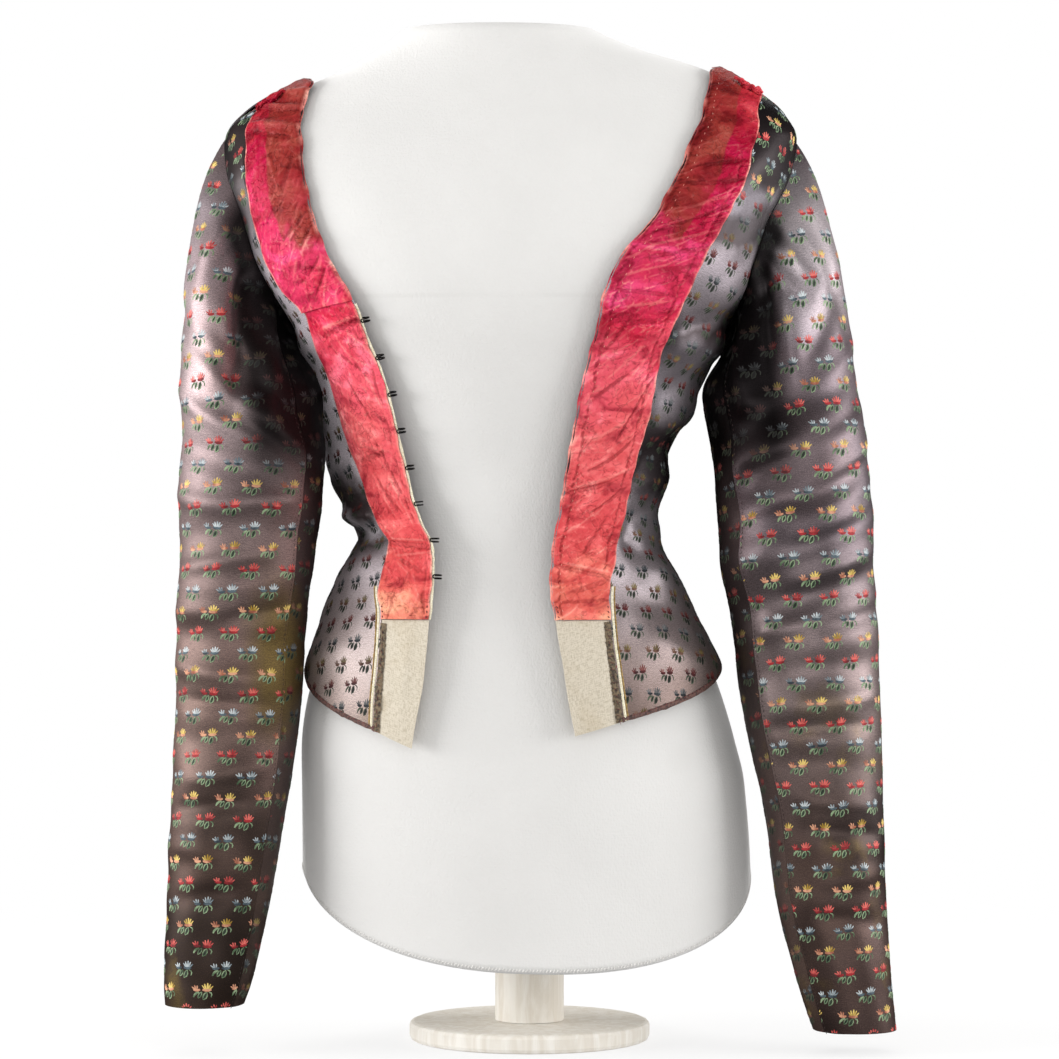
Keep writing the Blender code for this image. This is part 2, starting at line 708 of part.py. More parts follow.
def make_hooks(front):
    """The hooks under the right front's free edge."""
    outward = sheet_normals(front)
    heights = front[:, 0, 2]
    for i, height in enumerate(np.linspace(HOOK_TOP, HOOK_BOTTOM, HOOK_COUNT)):
        edge = np.array([np.interp(height, heights, front[:, 0, k]) for k in range(3)])
        beside = np.array([np.interp(height, heights, front[:, 1, k]) for k in range(3)])
        out = unit(np.array([np.interp(height, heights, outward[:, 0, k]) for k in range(3)]))
        past = unit(edge - beside)
        points = [edge + (past * place.past + out * place.out) * MM for place in HOOK_LINE]
        wire(f"hook_{i + 1}", points, HOOK_WIRE, "black_wire")


def make_ribbon_ends(sheets):
    """The crumpled ends of the ribbons, rolled up on the shoulders."""
    rise = SATIN + LAID_GAP + RIBBON + SEAM_GAP + END_RADIUS
    for name, (front, _) in sheets.items():
        outward = sheet_normals(front)
        shoulder = (front + outward * rise)[-END_ROWS_DOWN, : RIBBON_COLUMNS + 1]
        points = along_line(shoulder, np.linspace(END_INNER, 1, END_STEPS))
        wire("ribbon_end_" + name, points, END_RADIUS, "silk_ribbon")


def hem_height(angle):
    """The form's lower edge: high over the hips, low in front and behind."""
    facing = np.cos(angle - HEM_TURN)
    low = np.where(facing > 0, HEM_FRONT, HEM_BACK)
    return HEM_SIDE + (low - HEM_SIDE) * np.abs(facing)


def make_form():
    """The torso: rings up from its curved hem to the flat neck, and a hollowed seat underneath."""
    angle = np.linspace(0, 2 * math.pi, FORM_COLUMNS + 1)
    hem = hem_height(angle)
    level = np.array([row.height * MM for row in FORM_SECTIONS[HEM_SECTIONS:]])
    lower = [hem + (level[0] - hem) * share for share in np.linspace(0, 1, FORM_HEM_ROWS + 1)[:-1]]
    upper = [np.full_like(angle, height) for height in level]
    rings = [form_point(angle, height) for height in lower + upper]
    seat = form_point(angle, np.full_like(angle, FORM_SEAT))
    middle = np.array([0.0, 0.0, FORM_SEAT])
    inner = middle + (seat - middle) * SEAT_SHARE
    rising = inner + (rings[0] - inner) * SEAT_RISE
    shape, _, _ = grid_shape(np.stack([inner, rising] + rings))
    bmesh.ops.remove_doubles(shape, verts=shape.verts, dist=SAME_POINT)
    rims = [edge for edge in shape.edges if edge.is_boundary]
    bmesh.ops.holes_fill(shape, edges=rims, sides=0)
    bmesh.ops.recalc_face_normals(shape, faces=shape.faces)
    add_object("form_torso", mesh_from(shape, "form_torso"), "form_cover")


def turned(name, radius, bottom, top, bevel):
    """A plain round piece of the stand."""
    shape = bmesh.new()
    bmesh.ops.create_cone(
        shape, cap_ends=True, segments=TURNED_SIDES, radius1=radius, radius2=radius, depth=top - bottom
    )
    made = add_object(name, mesh_from(shape, name), "pale_wood")
    made.location.z = (top + bottom) / 2
    if bevel:
        rounding = made.modifiers.new("rounding", "BEVEL")
        rounding.width = bevel
        rounding.segments = BEVEL_STEPS
    return made


def main():
    for old in list(bpy.data.objects):
        bpy.data.objects.remove(old)
    collection = bpy.data.collections.new("caraco_on_dress_form")
    bpy.context.scene.collection.children.link(collection)
    origin = bpy.data.objects.new("caraco_origin", None)
    collection.objects.link(origin)
    sheets = make_body_panels()
    make_linen(sheets)
    make_ribbons(sheets)
    make_ribbon_ends(sheets)
    make_hooks(sheets["right"][0])
    make_sleeves(sheets)
    make_form()
    turned("form_post", POST_RADIUS, FOOT_HEIGHT + SEAM_GAP, FORM_SEAT - SEAM_GAP, 0)
    turned("form_foot", FOOT_RADIUS, 0, FOOT_HEIGHT, FOOT_BEVEL)


main()
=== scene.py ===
import math
from collections import namedtuple

import bmesh
import bpy
import numpy as np
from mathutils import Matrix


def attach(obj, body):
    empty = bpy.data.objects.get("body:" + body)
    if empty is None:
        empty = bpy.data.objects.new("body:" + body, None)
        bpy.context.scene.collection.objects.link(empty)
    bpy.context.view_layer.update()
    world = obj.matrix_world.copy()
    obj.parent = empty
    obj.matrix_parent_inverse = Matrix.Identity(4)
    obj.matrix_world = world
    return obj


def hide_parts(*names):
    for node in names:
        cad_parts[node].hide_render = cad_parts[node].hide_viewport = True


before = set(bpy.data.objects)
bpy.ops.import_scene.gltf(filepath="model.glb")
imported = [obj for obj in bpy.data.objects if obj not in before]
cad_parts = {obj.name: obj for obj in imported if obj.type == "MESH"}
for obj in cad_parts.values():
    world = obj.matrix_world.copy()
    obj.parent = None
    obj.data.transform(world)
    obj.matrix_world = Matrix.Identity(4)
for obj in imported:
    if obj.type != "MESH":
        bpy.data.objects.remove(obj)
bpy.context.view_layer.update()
mm = 0.001
rightSide = -1  # the wearer's right, on the viewer's left
leftSide = 1
print("frame loaded:", len(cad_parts), "nodes")

# Shape helpers


def hermite(start, startPull, end, endPull, share):
    return (
        start * (1 + 2 * share) * (1 - share) ** 2
        + startPull * share * (1 - share) ** 2
        + end * share**2 * (3 - 2 * share)
        + endPull * share**2 * (share - 1)
    )


def curveThrough(places, values):  # smooth, with no overshoot
    places = np.asarray(places, float)
    values = np.asarray(values, float)
    steps = np.diff(places)
    rises = np.diff(values) / steps
    slopes = np.zeros_like(values)
    slopes[0] = rises[0]
    slopes[-1] = rises[-1]
    for i in range(1, len(places) - 1):
        product = rises[i - 1] * rises[i]
        if product > 0:
            slopes[i] = 2 * product / (rises[i - 1] + rises[i])

    def at(place):
        place = np.asarray(place, float)
        i = np.clip(np.searchsorted(places, place) - 1, 0, len(steps) - 1)
        share = np.clip((place - places[i]) / steps[i], 0, 1)
        return hermite(values[i], slopes[i] * steps[i], values[i + 1], slopes[i + 1] * steps[i], share)

    return at


def byHeight(table, column, scale=mm):
    rows = sorted(table, key=lambda row: row.height)
    return curveThrough([row.height * mm for row in rows], [getattr(row, column) * scale for row in rows])


def columnOf(table, column, scale=mm):
    return np.array([getattr(row, column) for row in table]) * scale


def rowsOf(kind, *rows):
    return tuple(kind(*row) for row in rows)


def stepped(values, steps):  # values at the stations, read at even steps between them
    count = (len(values) - 1) * steps + 1
    return curveThrough(range(len(values)), values)(np.linspace(0, len(values) - 1, count))


def unit(vectors):
    return vectors / np.linalg.norm(vectors, axis=-1, keepdims=True)


def mixed(start, end, share):
    return start[:, None] + (end - start)[:, None] * share[None, :]


def smoothStep(low, high, value):
    share = np.clip((value - low) / (high - low), 0, 1)
    return share * share * (3 - 2 * share)


def lengthsAlong(points, axis=0):  # how far each point lies from the first, along a line or a grid
    steps = np.linalg.norm(np.diff(points, axis=axis), axis=-1)
    before = [(0, 0)] * steps.ndim
    before[axis] = (1, 0)
    return np.cumsum(np.pad(steps, before), axis=axis)


def alongLine(points, share):  # points at shares of a line's length
    places = lengthsAlong(points)
    return np.stack([np.interp(share * places[-1], places, points[:, k]) for k in range(3)], axis=-1)


def gridNormals(points, middle):  # straight out of a grid, away from middle
    across = np.gradient(points, axis=1)
    along = np.gradient(points, axis=0)
    normals = unit(np.cross(across, along))
    if np.sum(normals * (points - middle)) < 0:
        normals = -normals
    return normals


def bodyAxis(points):
    axis = np.zeros_like(points)
    axis[..., 2] = points[..., 2]
    return axis


# A crease lies at a and b in millimetres, turned by angle, with its length, width and depth.
# A ridge has a positive depth and a trough a negative one, and bend curves it.
Crease = namedtuple("Crease", "a b angle length width depth bend", defaults=(0.0,))


def creaseLift(creases, a, b):
    total = np.zeros(np.broadcast(a, b).shape)
    for crease in creases:
        turn = math.radians(crease.angle)
        along = (a - crease.a) * math.cos(turn) + (b - crease.b) * math.sin(turn)
        across = (b - crease.b) * math.cos(turn) - (a - crease.a) * math.sin(turn)
        across = across - crease.bend * along**2 / crease.length
        core = np.exp(-((across / crease.width) ** 2))
        ends = np.exp(-((2 * along / crease.length) ** 4))
        total += crease.depth * core * ends
    return total * mm


softWaves = {"count": 9, "lengths": (26, 70)}


def softUneven(a, b, size, seed):  # slow, shallow waves that keep a large surface from looking turned
    rng = np.random.default_rng(seed)
    total = np.zeros(np.broadcast(a, b).shape)
    for _ in range(softWaves["count"]):
        turn = rng.uniform(0, math.pi)
        wave = rng.uniform(*softWaves["lengths"])
        phase = rng.uniform(0, 2 * math.pi)
        total += np.sin((a * math.cos(turn) + b * math.sin(turn)) * 2 * math.pi / wave + phase)
    return total / softWaves["count"] * size * mm


def linked(name, data):
    made = bpy.data.objects.new(name, data)
    bpy.context.scene.collection.objects.link(made)
    return made


def addObject(name, mesh, finish):
    mesh.materials.append(finish)
    return linked(name, mesh)


def fromFrame(made, node):  # a piece that stands for a node of the frame
    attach(made, "root")
    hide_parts(node)


def gridFaces(rows, columns, closed=False):
    index = np.arange(rows * columns).reshape(rows, columns)
    after = np.roll(index, -1, axis=1) if closed else index[:, 1:]
    before = index if closed else index[:, :-1]
    return np.stack([before[:-1], after[:-1], after[1:], before[1:]], axis=-1).reshape(-1, 4)


def cappedFaces(rows, columns):  # a closed tube of rings, with both ends filled
    ends = [list(range(columns)), [(rows - 1) * columns + i for i in range(columns)]]
    return gridFaces(rows, columns, closed=True).tolist() + ends


def cornerPoints(mesh):  # the point at each corner of each face
    corner = np.zeros(len(mesh.loops), int)
    mesh.loops.foreach_get("vertex_index", corner)
    return corner


def meshOf(name, points, faces, uv=None):
    mesh = bpy.data.meshes.new(name)
    mesh.from_pydata(points.reshape(-1, 3).tolist(), [], faces.tolist())
    if uv is not None:
        layer = mesh.uv_layers.new(name="lay")
        atCorners = uv.reshape(-1, 2)[cornerPoints(mesh)]
        layer.uv.foreach_set("vector", atCorners.astype(np.float32).ravel())
    mesh.shade_smooth()
    return mesh


def closedMesh(name, points, faces):  # a closed shape, its faces turned outward
    mesh = bpy.data.meshes.new(name)
    mesh.from_pydata(points.reshape(-1, 3).tolist(), [], faces)
    shape = bmesh.new()
    shape.from_mesh(mesh)
    bmesh.ops.recalc_face_normals(shape, faces=shape.faces)
    shape.to_mesh(mesh)
    shape.free()
    mesh.shade_smooth()
    return mesh


def faceOutward(points, faces, outward):  # turn every face the way the normals point
    a, b, c = (points.reshape(-1, 3)[faces[:, k]] for k in range(3))
    facing = np.sum(np.cross(b - a, c - a) * outward.reshape(-1, 3)[faces[:, 0]])
    return faces[:, ::-1] if facing < 0 else faces


def tinted(mesh, name, values):  # a value at each point, for the finish to read
    layer = mesh.attributes.new(name, "FLOAT", "POINT")
    layer.data.foreach_set("value", np.clip(values, 0, 1).astype(np.float32).ravel())


def walled(made, wall):  # give a sheet its wall, with crisp cut edges
    shape = bmesh.new()
    shape.from_mesh(made.data)
    bmesh.ops.delete(shape, geom=[v for v in shape.verts if not v.link_faces], context="VERTS")
    shape.to_mesh(made.data)
    shape.free()
    thick = made.modifiers.new("wall", "SOLIDIFY")
    thick.thickness = wall
    thick.offset = -1
    mesh = plainMesh(made, made.data.name)
    made.modifiers.remove(thick)
    mesh.set_sharp_from_angle(angle=math.radians(50))
    made.data = mesh


def plainMesh(helper, name):  # the evaluated result as a plain mesh
    bpy.context.view_layer.update()
    graph = bpy.context.evaluated_depsgraph_get()
    mesh = bpy.data.meshes.new_from_object(helper.evaluated_get(graph))
    mesh.name = name
    return mesh


def clothPiece(name, points, outward, finish, wall, uv=None, **tints):
    faces = faceOutward(points, gridFaces(*points.shape[:2]), outward)
    made = addObject(name, meshOf(name, points, faces, uv), finish)
    for tint, values in tints.items():
        tinted(made.data, tint, values)
    walled(made, wall)
    return made


def areaOf(points):
    across = np.diff(points, axis=1)[:-1]
    along = np.diff(points, axis=0)[:, :-1]
    return float(np.linalg.norm(np.cross(across, along), axis=-1).sum())


# Camera, at the photograph's angle

cameraSetup = {
    "distance": 2.6,
    "height": 0.356,
    "metresPerPixel": 0.0007,
    "imagePixels": 1059,
    "sensor": 36.0,
}


def makeCamera():
    data = bpy.data.cameras.new("camera")
    data.sensor_width = cameraSetup["sensor"]
    across = cameraSetup["imagePixels"] * cameraSetup["metresPerPixel"]
    data.lens = cameraSetup["sensor"] * cameraSetup["distance"] / across
    camera = linked("camera", data)
    camera.location = (0, -cameraSetup["distance"], cameraSetup["height"])
    camera.rotation_euler = (math.pi / 2, 0, 0)
    bpy.context.scene.camera = camera


makeCamera()
print("camera placed")

# Finishes


class NodeTree:  # adds nodes to a tree, and feeds each socket with a value or a link
    def __init__(self, tree):
        self.tree = tree

    def feed(self, node, socket, value):
        if isinstance(value, bpy.types.NodeSocket):
            self.tree.links.new(value, node.inputs[socket])
        else:
            node.inputs[socket].default_value = value

    def node(self, kind, feeds=(), **settings):
        made = self.tree.nodes.new(kind)
        for key, value in settings.items():
            setattr(made, key, value)
        for socket, value in dict(feeds).items():
            self.feed(made, socket, value)
        return made

    def math(self, operation, first, second=0.0):
        return self.node("ShaderNodeMath", {0: first, 1: second}, operation=operation).outputs[0]

    def times(self, first, second):
        return self.math("MULTIPLY", first, second)

    def plus(self, first, second):
        return self.math("ADD", first, second)

    def larger(self, first, second):
        return self.math("MAXIMUM", first, second)


class Finish(NodeTree):
    def __init__(self, name):
        self.material = bpy.data.materials.new(name)
        self.material.use_nodes = True
        super().__init__(self.material.node_tree)
        self.shader = self.tree.nodes["Principled BSDF"]

    def set(self, **values):
        for key, value in values.items():
            self.feed(self.shader, key.replace("_", " "), value)

    def coordinates(self, kind="Object", scale=(1, 1, 1)):
        if kind == "UV":
            source = self.node("ShaderNodeUVMap", uv_map="lay").outputs["UV"]
        else:
            source = self.node("ShaderNodeTexCoord").outputs["Object"]
        return self.node("ShaderNodeMapping", {"Vector": source, "Scale": scale}).outputs["Vector"]

    def split(self, vector):
        return self.node("ShaderNodeSeparateXYZ", {0: vector}).outputs

    def attribute(self, name):
        return self.node("ShaderNodeAttribute", attribute_name=name).outputs["Fac"]

    def noise(self, vector, scale, detail=4.0, roughness=0.55, distortion=0.0):
        feeds = {"Vector": vector, "Scale": scale, "Detail": detail}
        feeds.update(Roughness=roughness, Distortion=distortion)
        return self.node("ShaderNodeTexNoise", feeds).outputs["Fac"]

    def span(self, value, low, high, toLow=0.0, toHigh=1.0):
        feeds = {"Value": value, "From Min": low, "From Max": high, "To Min": toLow, "To Max": toHigh}
        return self.node("ShaderNodeMapRange", feeds, interpolation_type="SMOOTHSTEP").outputs["Result"]

    def away(self, value, middle):  # how far a value is from the middle, either way
        return self.math("ABSOLUTE", self.math("SUBTRACT", value, middle))

    def stirred(self, value, noise, reach):
        return self.plus(value, self.times(self.math("SUBTRACT", noise, 0.5), reach))

    def mix(self, share, first, second, blend="MIX"):
        feeds = {0: share, 6: first, 7: second}
        return self.node("ShaderNodeMix", feeds, data_type="RGBA", blend_type=blend).outputs[2]

    def ramp(self, value, stops):
        made = self.node("ShaderNodeValToRGB", {"Fac": value})
        elements = made.color_ramp.elements
        for element, (place, colour) in ((elements[0], stops[0]), (elements[1], stops[-1])):
            element.position = place
            element.color = colour
        for place, colour in stops[1:-1]:
            elements.new(place).color = colour
        return made.outputs["Color"]

    def distance(self, vector):
        return self.node("ShaderNodeVectorMath", {0: vector}, operation="LENGTH").outputs["Value"]

    def patch(self, vector, centre, size, rough):  # full at centre, gone at size, with a ragged rim
        scale = tuple(1 / s for s in size)
        shift = tuple(-c / s for c, s in zip(centre, size))
        feeds = {"Vector": vector, "Scale": scale, "Location": shift}
        far = self.distance(self.node("ShaderNodeMapping", feeds).outputs["Vector"])
        return self.span(self.plus(far, self.times(rough, 0.8)), 0.7, 1.3, 1.0, 0.0)

    def bump(self, height, distance, strength):
        made = self.node("ShaderNodeBump", {"Height": height, "Distance": distance, "Strength": strength})
        self.set(Normal=made.outputs["Normal"])


def rgb(red, green, blue):  # from the 0 to 255 values of a picture
    def linear(v):
        v = v / 255
        return v / 12.92 if v <= 0.04045 else ((v + 0.055) / 1.055) ** 2.4

    return (linear(red), linear(green), linear(blue), 1.0)


# Each part is a differently lit copy of one satin: on the sleeves and fronts the bright bands are painted
# sheen and the dark bands painted shade, the under part is a shaded copy for the under sleeves, and the back
# is darker towards the top.
SatinPart = namedtuple("SatinPart", "tones metallic roughness warm")
satinLitAndShadedParts = {  # tones by height, with painted sheen and painted shade in bands
    "sleeveRight": SatinPart(
        ((0.03, (50, 40, 34)), (0.14, (58, 47, 41)), (0.24, (106, 89, 82)), (0.37, (120, 104, 103)),
         (0.48, (162, 145, 146)), (0.55, (170, 156, 161)), (0.6, (158, 148, 154)), (0.63, (128, 120, 124))),
        0.8, (0.45, 0.55), 0.5,
    ),
    "sleeveLeft": SatinPart(
        ((0.03, (44, 36, 33)), (0.14, (52, 43, 40)), (0.24, (122, 108, 106)), (0.36, (96, 87, 91)),
         (0.48, (112, 103, 109)), (0.57, (212, 201, 205)), (0.62, (120, 112, 117))),
        0.8, (0.4, 0.5), 0.2,
    ),
    "under": SatinPart(
        ((0.03, (66, 52, 46)), (0.4, (52, 44, 45)), (0.6, (38, 33, 35))),
        0.6, (0.42, 0.5), 0.15,
    ),
    "right": SatinPart(
        ((0.22, (138, 120, 112)), (0.26, (172, 158, 154)), (0.33, (182, 172, 176)), (0.348, (116, 108, 112)),
         (0.356, (52, 47, 50)), (0.364, (190, 184, 190)), (0.37, (40, 36, 38)), (0.385, (56, 51, 54)),
         (0.405, (222, 213, 220)), (0.535, (206, 198, 205)), (0.56, (112, 106, 110)), (0.59, (44, 40, 42)),
         (0.66, (32, 28, 30))),
        0.35, (0.42, 0.5), 0.1,
    ),
    "left": SatinPart(
        ((0.22, (112, 94, 86)), (0.26, (144, 128, 124)), (0.32, (162, 152, 155)), (0.35, (140, 132, 136)),
         (0.375, (150, 143, 148)), (0.39, (58, 53, 56)), (0.425, (60, 55, 58)), (0.45, (176, 168, 175)),
         (0.475, (112, 106, 112)), (0.488, (40, 36, 39)), (0.503, (158, 149, 155)), (0.538, (164, 155, 161)),
         (0.555, (46, 42, 45)), (0.572, (46, 42, 45)), (0.581, (108, 103, 109)), (0.592, (36, 32, 35)),
         (0.66, (30, 27, 29))),
        0.6, (0.38, 0.46), 0.1,
    ),
    "back": SatinPart(
        ((0.22, (128, 112, 108)), (0.35, (128, 118, 122)), (0.5, (118, 109, 115)), (0.66, (92, 84, 88))),
        0.7, (0.38, 0.46), 0.2,
    ),
}
satinLook = {
    "warm": rgb(146, 118, 112),
    "brown": rgb(98, 78, 68),
    "olive": rgb(116, 98, 50),
    "thread": rgb(50, 42, 45),
    # painted shade: the near-black that shaded satin is mixed toward
    "deep": rgb(18, 15, 16),
    "gleam": (1.8, 1.76, 1.76, 1),
    "anisotropic": 0.45,
    "slub": 0.00006,
    "stainAt": (-0.172, -0.085, 0.272),
    "stainSize": (0.034, 0.09, 0.08),
    "cloudScale": 9.0,
    "roughScale": 16.0,
    "warmScale": 5.5,
    "grainScale": 1500.0,
    "threadScale": (240, 1500, 1),
}


def makeSatin(part):
    tones, metallic, roughness, warm = satinLitAndShadedParts[part]
    look = Finish(part + "Satin")
    place = look.coordinates()
    height = look.split(place)[2]
    lower = look.span(height, 0.12, 0.36, 1.0, 0.0)
    cloud = look.noise(place, satinLook["cloudScale"], 3.0)
    rough = look.noise(place, satinLook["roughScale"], 4.0)
    colour = look.ramp(look.stirred(height, rough, 0.05), [(level, rgb(*tone)) for level, tone in tones])
    warmth = look.span(look.noise(place, satinLook["warmScale"], 3.0), 0.42, 0.66, 0.0, warm)
    colour = look.mix(warmth, colour, satinLook["warm"])
    browned = look.times(lower, look.span(cloud, 0.45, 0.7, 0.0, 0.5))
    colour = look.mix(browned, colour, satinLook["brown"])
    stained = look.times(look.span(rough, 0.56, 0.72), look.times(lower, 0.6))
    spilt = look.patch(place, satinLook["stainAt"], satinLook["stainSize"], rough)
    colour = look.mix(look.larger(stained, look.times(spilt, 0.85)), colour, satinLook["olive"])
    slubs = look.noise(look.coordinates("UV", satinLook["threadScale"]), 1.0, 3.0)
    grain = look.noise(look.coordinates("UV"), satinLook["grainScale"], 2.0)
    speck = look.larger(look.span(slubs, 0.42, 0.72, 0.0, 0.4), look.span(grain, 0.48, 0.75, 0.0, 0.7))
    colour = look.mix(speck, colour, satinLook["thread"])
    colour = look.mix(look.span(grain, 0.48, 0.28, 0.0, 0.7), colour, satinLook["gleam"], "MULTIPLY")
    look.bump(look.plus(slubs, look.times(grain, 0.6)), satinLook["slub"], 0.9)
    # Painted shade: the satin is darkened toward near-black by a value stored on each point, beside the
    # sleeves and under the arms.
    look.set(
        Base_Color=look.mix(look.attribute("deep"), colour, satinLook["deep"]),
        Roughness=look.span(cloud, 0.2, 0.8, *roughness),
        Tangent=look.node("ShaderNodeTangent", direction_type="UV_MAP", uv_map="lay").outputs["Tangent"],
        Metallic=metallic,
        Anisotropic=satinLook["anisotropic"],
        Specular_IOR_Level=0.25,
    )
    return look.material


flossColours = {
    "leaf": (rgb(64, 88, 60), rgb(136, 158, 122)),
    "leafDark": (rgb(26, 34, 26), rgb(48, 62, 46)),
    "redDark": (rgb(96, 12, 20), rgb(160, 34, 40)),
    "red": (rgb(150, 34, 38), rgb(218, 104, 94)),
    "blueDark": (rgb(40, 50, 58), rgb(82, 98, 106)),
    "blue": (rgb(92, 108, 116), rgb(186, 194, 196)),
    "yellow": (rgb(150, 118, 34), rgb(222, 194, 108)),
    "peach": (rgb(144, 80, 58), rgb(208, 152, 120)),
}
flossLook = {
    # painted shade: the near-black that shaded floss is mixed toward
    "dull": rgb(20, 16, 17),
    "patchScale": 150.0,
    "twistScale": (3000, 3000, 900),
    "twist": (0.00008, 0.7),
    "shader": {"Roughness": 0.6, "Sheen_Weight": 0.05, "Specular_IOR_Level": 0.25},
}


def makeFloss(kind):
    look = Finish("floss" + kind.capitalize())
    patch = look.span(look.noise(look.coordinates(), flossLook["patchScale"], 3.0), 0.34, 0.62)
    colour = look.mix(patch, *flossColours[kind])
    look.bump(look.noise(look.coordinates("Object", flossLook["twistScale"]), 1.0, 2.0), *flossLook["twist"])
    # Painted shade: the floss is darkened toward near-black by a value carried from the cloth beneath.
    look.set(Base_Color=look.mix(look.attribute("dull"), colour, flossLook["dull"]), **flossLook["shader"])
    return look.material


ribbonLook = {
    # The ribbon's colour by height, crimson above and coral below; the pinker bands also hold painted sheen.
    "stops": (
        (0.295, rgb(228, 132, 108)),
        (0.315, rgb(220, 96, 86)),
        (0.34, rgb(212, 74, 76)),
        (0.37, rgb(216, 76, 80)),
        (0.41, rgb(226, 92, 96)),
        (0.46, rgb(228, 84, 102)),
        (0.50, rgb(206, 40, 68)),
        (0.54, rgb(210, 52, 92)),
        (0.58, rgb(176, 10, 56)),
        (0.63, rgb(156, 6, 42)),
        (0.66, rgb(192, 50, 58)),
    ),
    # the pale of rubbed edges, also mixed in as painted highlight on ridges and crumples
    "rubbed": rgb(240, 148, 138),
    "worn": rgb(142, 46, 40),
    # painted shade, multiplied into fold troughs and crumple hollows
    "troughShade": rgb(150, 110, 112),
    "gleam": (1.3, 2.1, 1.95, 1),
    "shade": (0.58, 0.36, 0.45, 1),
    "crumple": (0.0006, 0.9),
    "shader": {"Roughness": 0.4, "Specular_IOR_Level": 0.18, "Specular_Tint": rgb(255, 140, 150)},
}


def makeRibbonSilk():
    look = Finish("ribbonSilk")
    place = look.coordinates()
    across = look.split(look.coordinates("UV"))[0]
    cloud = look.noise(place, 22.0, 5.0, 0.6)
    blot = look.noise(place, 60.0, 4.0)
    moved = look.stirred(look.split(place)[2], cloud, 0.16)
    colour = look.ramp(moved, ribbonLook["stops"])
    ragged = look.stirred(across, cloud, 0.3)
    worn = look.times(look.span(ragged, 0.51, 0.55, 1.0, 0.0), look.span(moved, 0.552, 0.578))
    colour = look.mix(look.times(worn, look.span(blot, 0.3, 0.6, 0.7, 1.0)), colour, ribbonLook["worn"])
    rubbed = look.times(look.span(look.away(across, 0.5), 0.455, 0.5), look.span(blot, 0.35, 0.6))
    # painted light and shade of the folds, from the value stored on each point
    fold = look.attribute("fold")
    calm = look.span(moved, 0.54, 0.6, 1.0, 0.3)
    # painted highlight on the fold ridges
    ridgeHighlight = look.times(look.span(fold, 0.58, 0.95), look.times(calm, 0.3))
    colour = look.mix(look.larger(rubbed, ridgeHighlight), colour, ribbonLook["rubbed"])
    # crumple lines: grooves in the bump, with painted shade along them
    lines = look.away(look.noise(place, 95.0, 3.0, 0.5, 1.6), 0.5)
    lines = look.times(look.span(lines, 0.0, 0.02, 1.0, 0.0), look.span(blot, 0.4, 0.6))
    # painted shade in the fold troughs and along the crumple lines
    foldShade = look.larger(look.span(fold, 0.46, 0.1), look.times(lines, 0.3))
    fine = look.noise(place, 190.0, 6.0, 0.65, 1.4)
    # painted highlight on the tops of the fine crumples
    crumpleHighlight = look.times(calm, look.span(fine, 0.53, 0.74, 0.0, 0.36))
    broad = look.noise(look.coordinates("Object", (1, 1, 1.7)), 34.0, 3.0, 0.55, 0.8)
    for share, tone, blend in (
        (look.times(foldShade, 0.65), "troughShade", "MULTIPLY"),
        (crumpleHighlight, "rubbed", "MIX"),
        # painted shade in the hollows of the fine crumples
        (look.span(fine, 0.47, 0.32, 0.0, 0.5), "troughShade", "MULTIPLY"),
        (look.span(broad, 0.5, 0.66), "gleam", "MULTIPLY"),
        (look.span(broad, 0.49, 0.34), "shade", "MULTIPLY"),
    ):
        colour = look.mix(share, colour, ribbonLook[tone], blend)
    rib = look.noise(look.coordinates("UV", (20, 2600, 1)), 1.0, 2.0)
    rough = look.math("SUBTRACT", look.plus(fine, look.times(rib, 0.25)), lines)
    look.bump(rough, *ribbonLook["crumple"])
    look.set(Base_Color=colour, **ribbonLook["shader"])
    return look.material


linenLook = {
    "linenWeave": (rgb(184, 173, 152), rgb(211, 202, 185)),
    "ivoryEdge": (rgb(196, 186, 146), rgb(240, 234, 212)),
    "stain": rgb(176, 158, 126),
    "stainScale": 40.0,
    "threads": ((1500, 260, 1), (260, 1500, 1)),
    "weave": (0.0005, 0.8),
    "roughness": 0.92,
}


def makeLinen(name):
    look = Finish(name)
    warp, weft = (look.noise(look.coordinates("UV", scale), 1.0, 3.0) for scale in linenLook["threads"])
    weave = look.times(look.plus(warp, weft), 0.5)
    colour = look.mix(look.span(weave, 0.38, 0.56), *linenLook[name])
    stain = look.span(look.noise(look.coordinates(), linenLook["stainScale"], 4.0), 0.5, 0.75, 0.0, 0.3)
    look.bump(weave, *linenLook["weave"])
    look.set(Base_Color=look.mix(stain, colour, linenLook["stain"]), Roughness=linenLook["roughness"])
    return look.material


coverLook = {
    "tones": (rgb(219, 218, 216), rgb(226, 225, 223)),
    "mark": rgb(196, 194, 190),
    "markAt": (0.102, -0.09, 0.2),
    "markSize": (0.014, 0.06, 0.016),
    "markShare": 0.08,
    "seamAt": 0.513,
    "seamShare": 0.14,
    "knitScale": 700.0,
    "slubScale": (90, 90, 900),
    "knit": (0.0005, 0.7),
    "shader": {"Roughness": 0.95, "Sheen_Weight": 0.4},
}


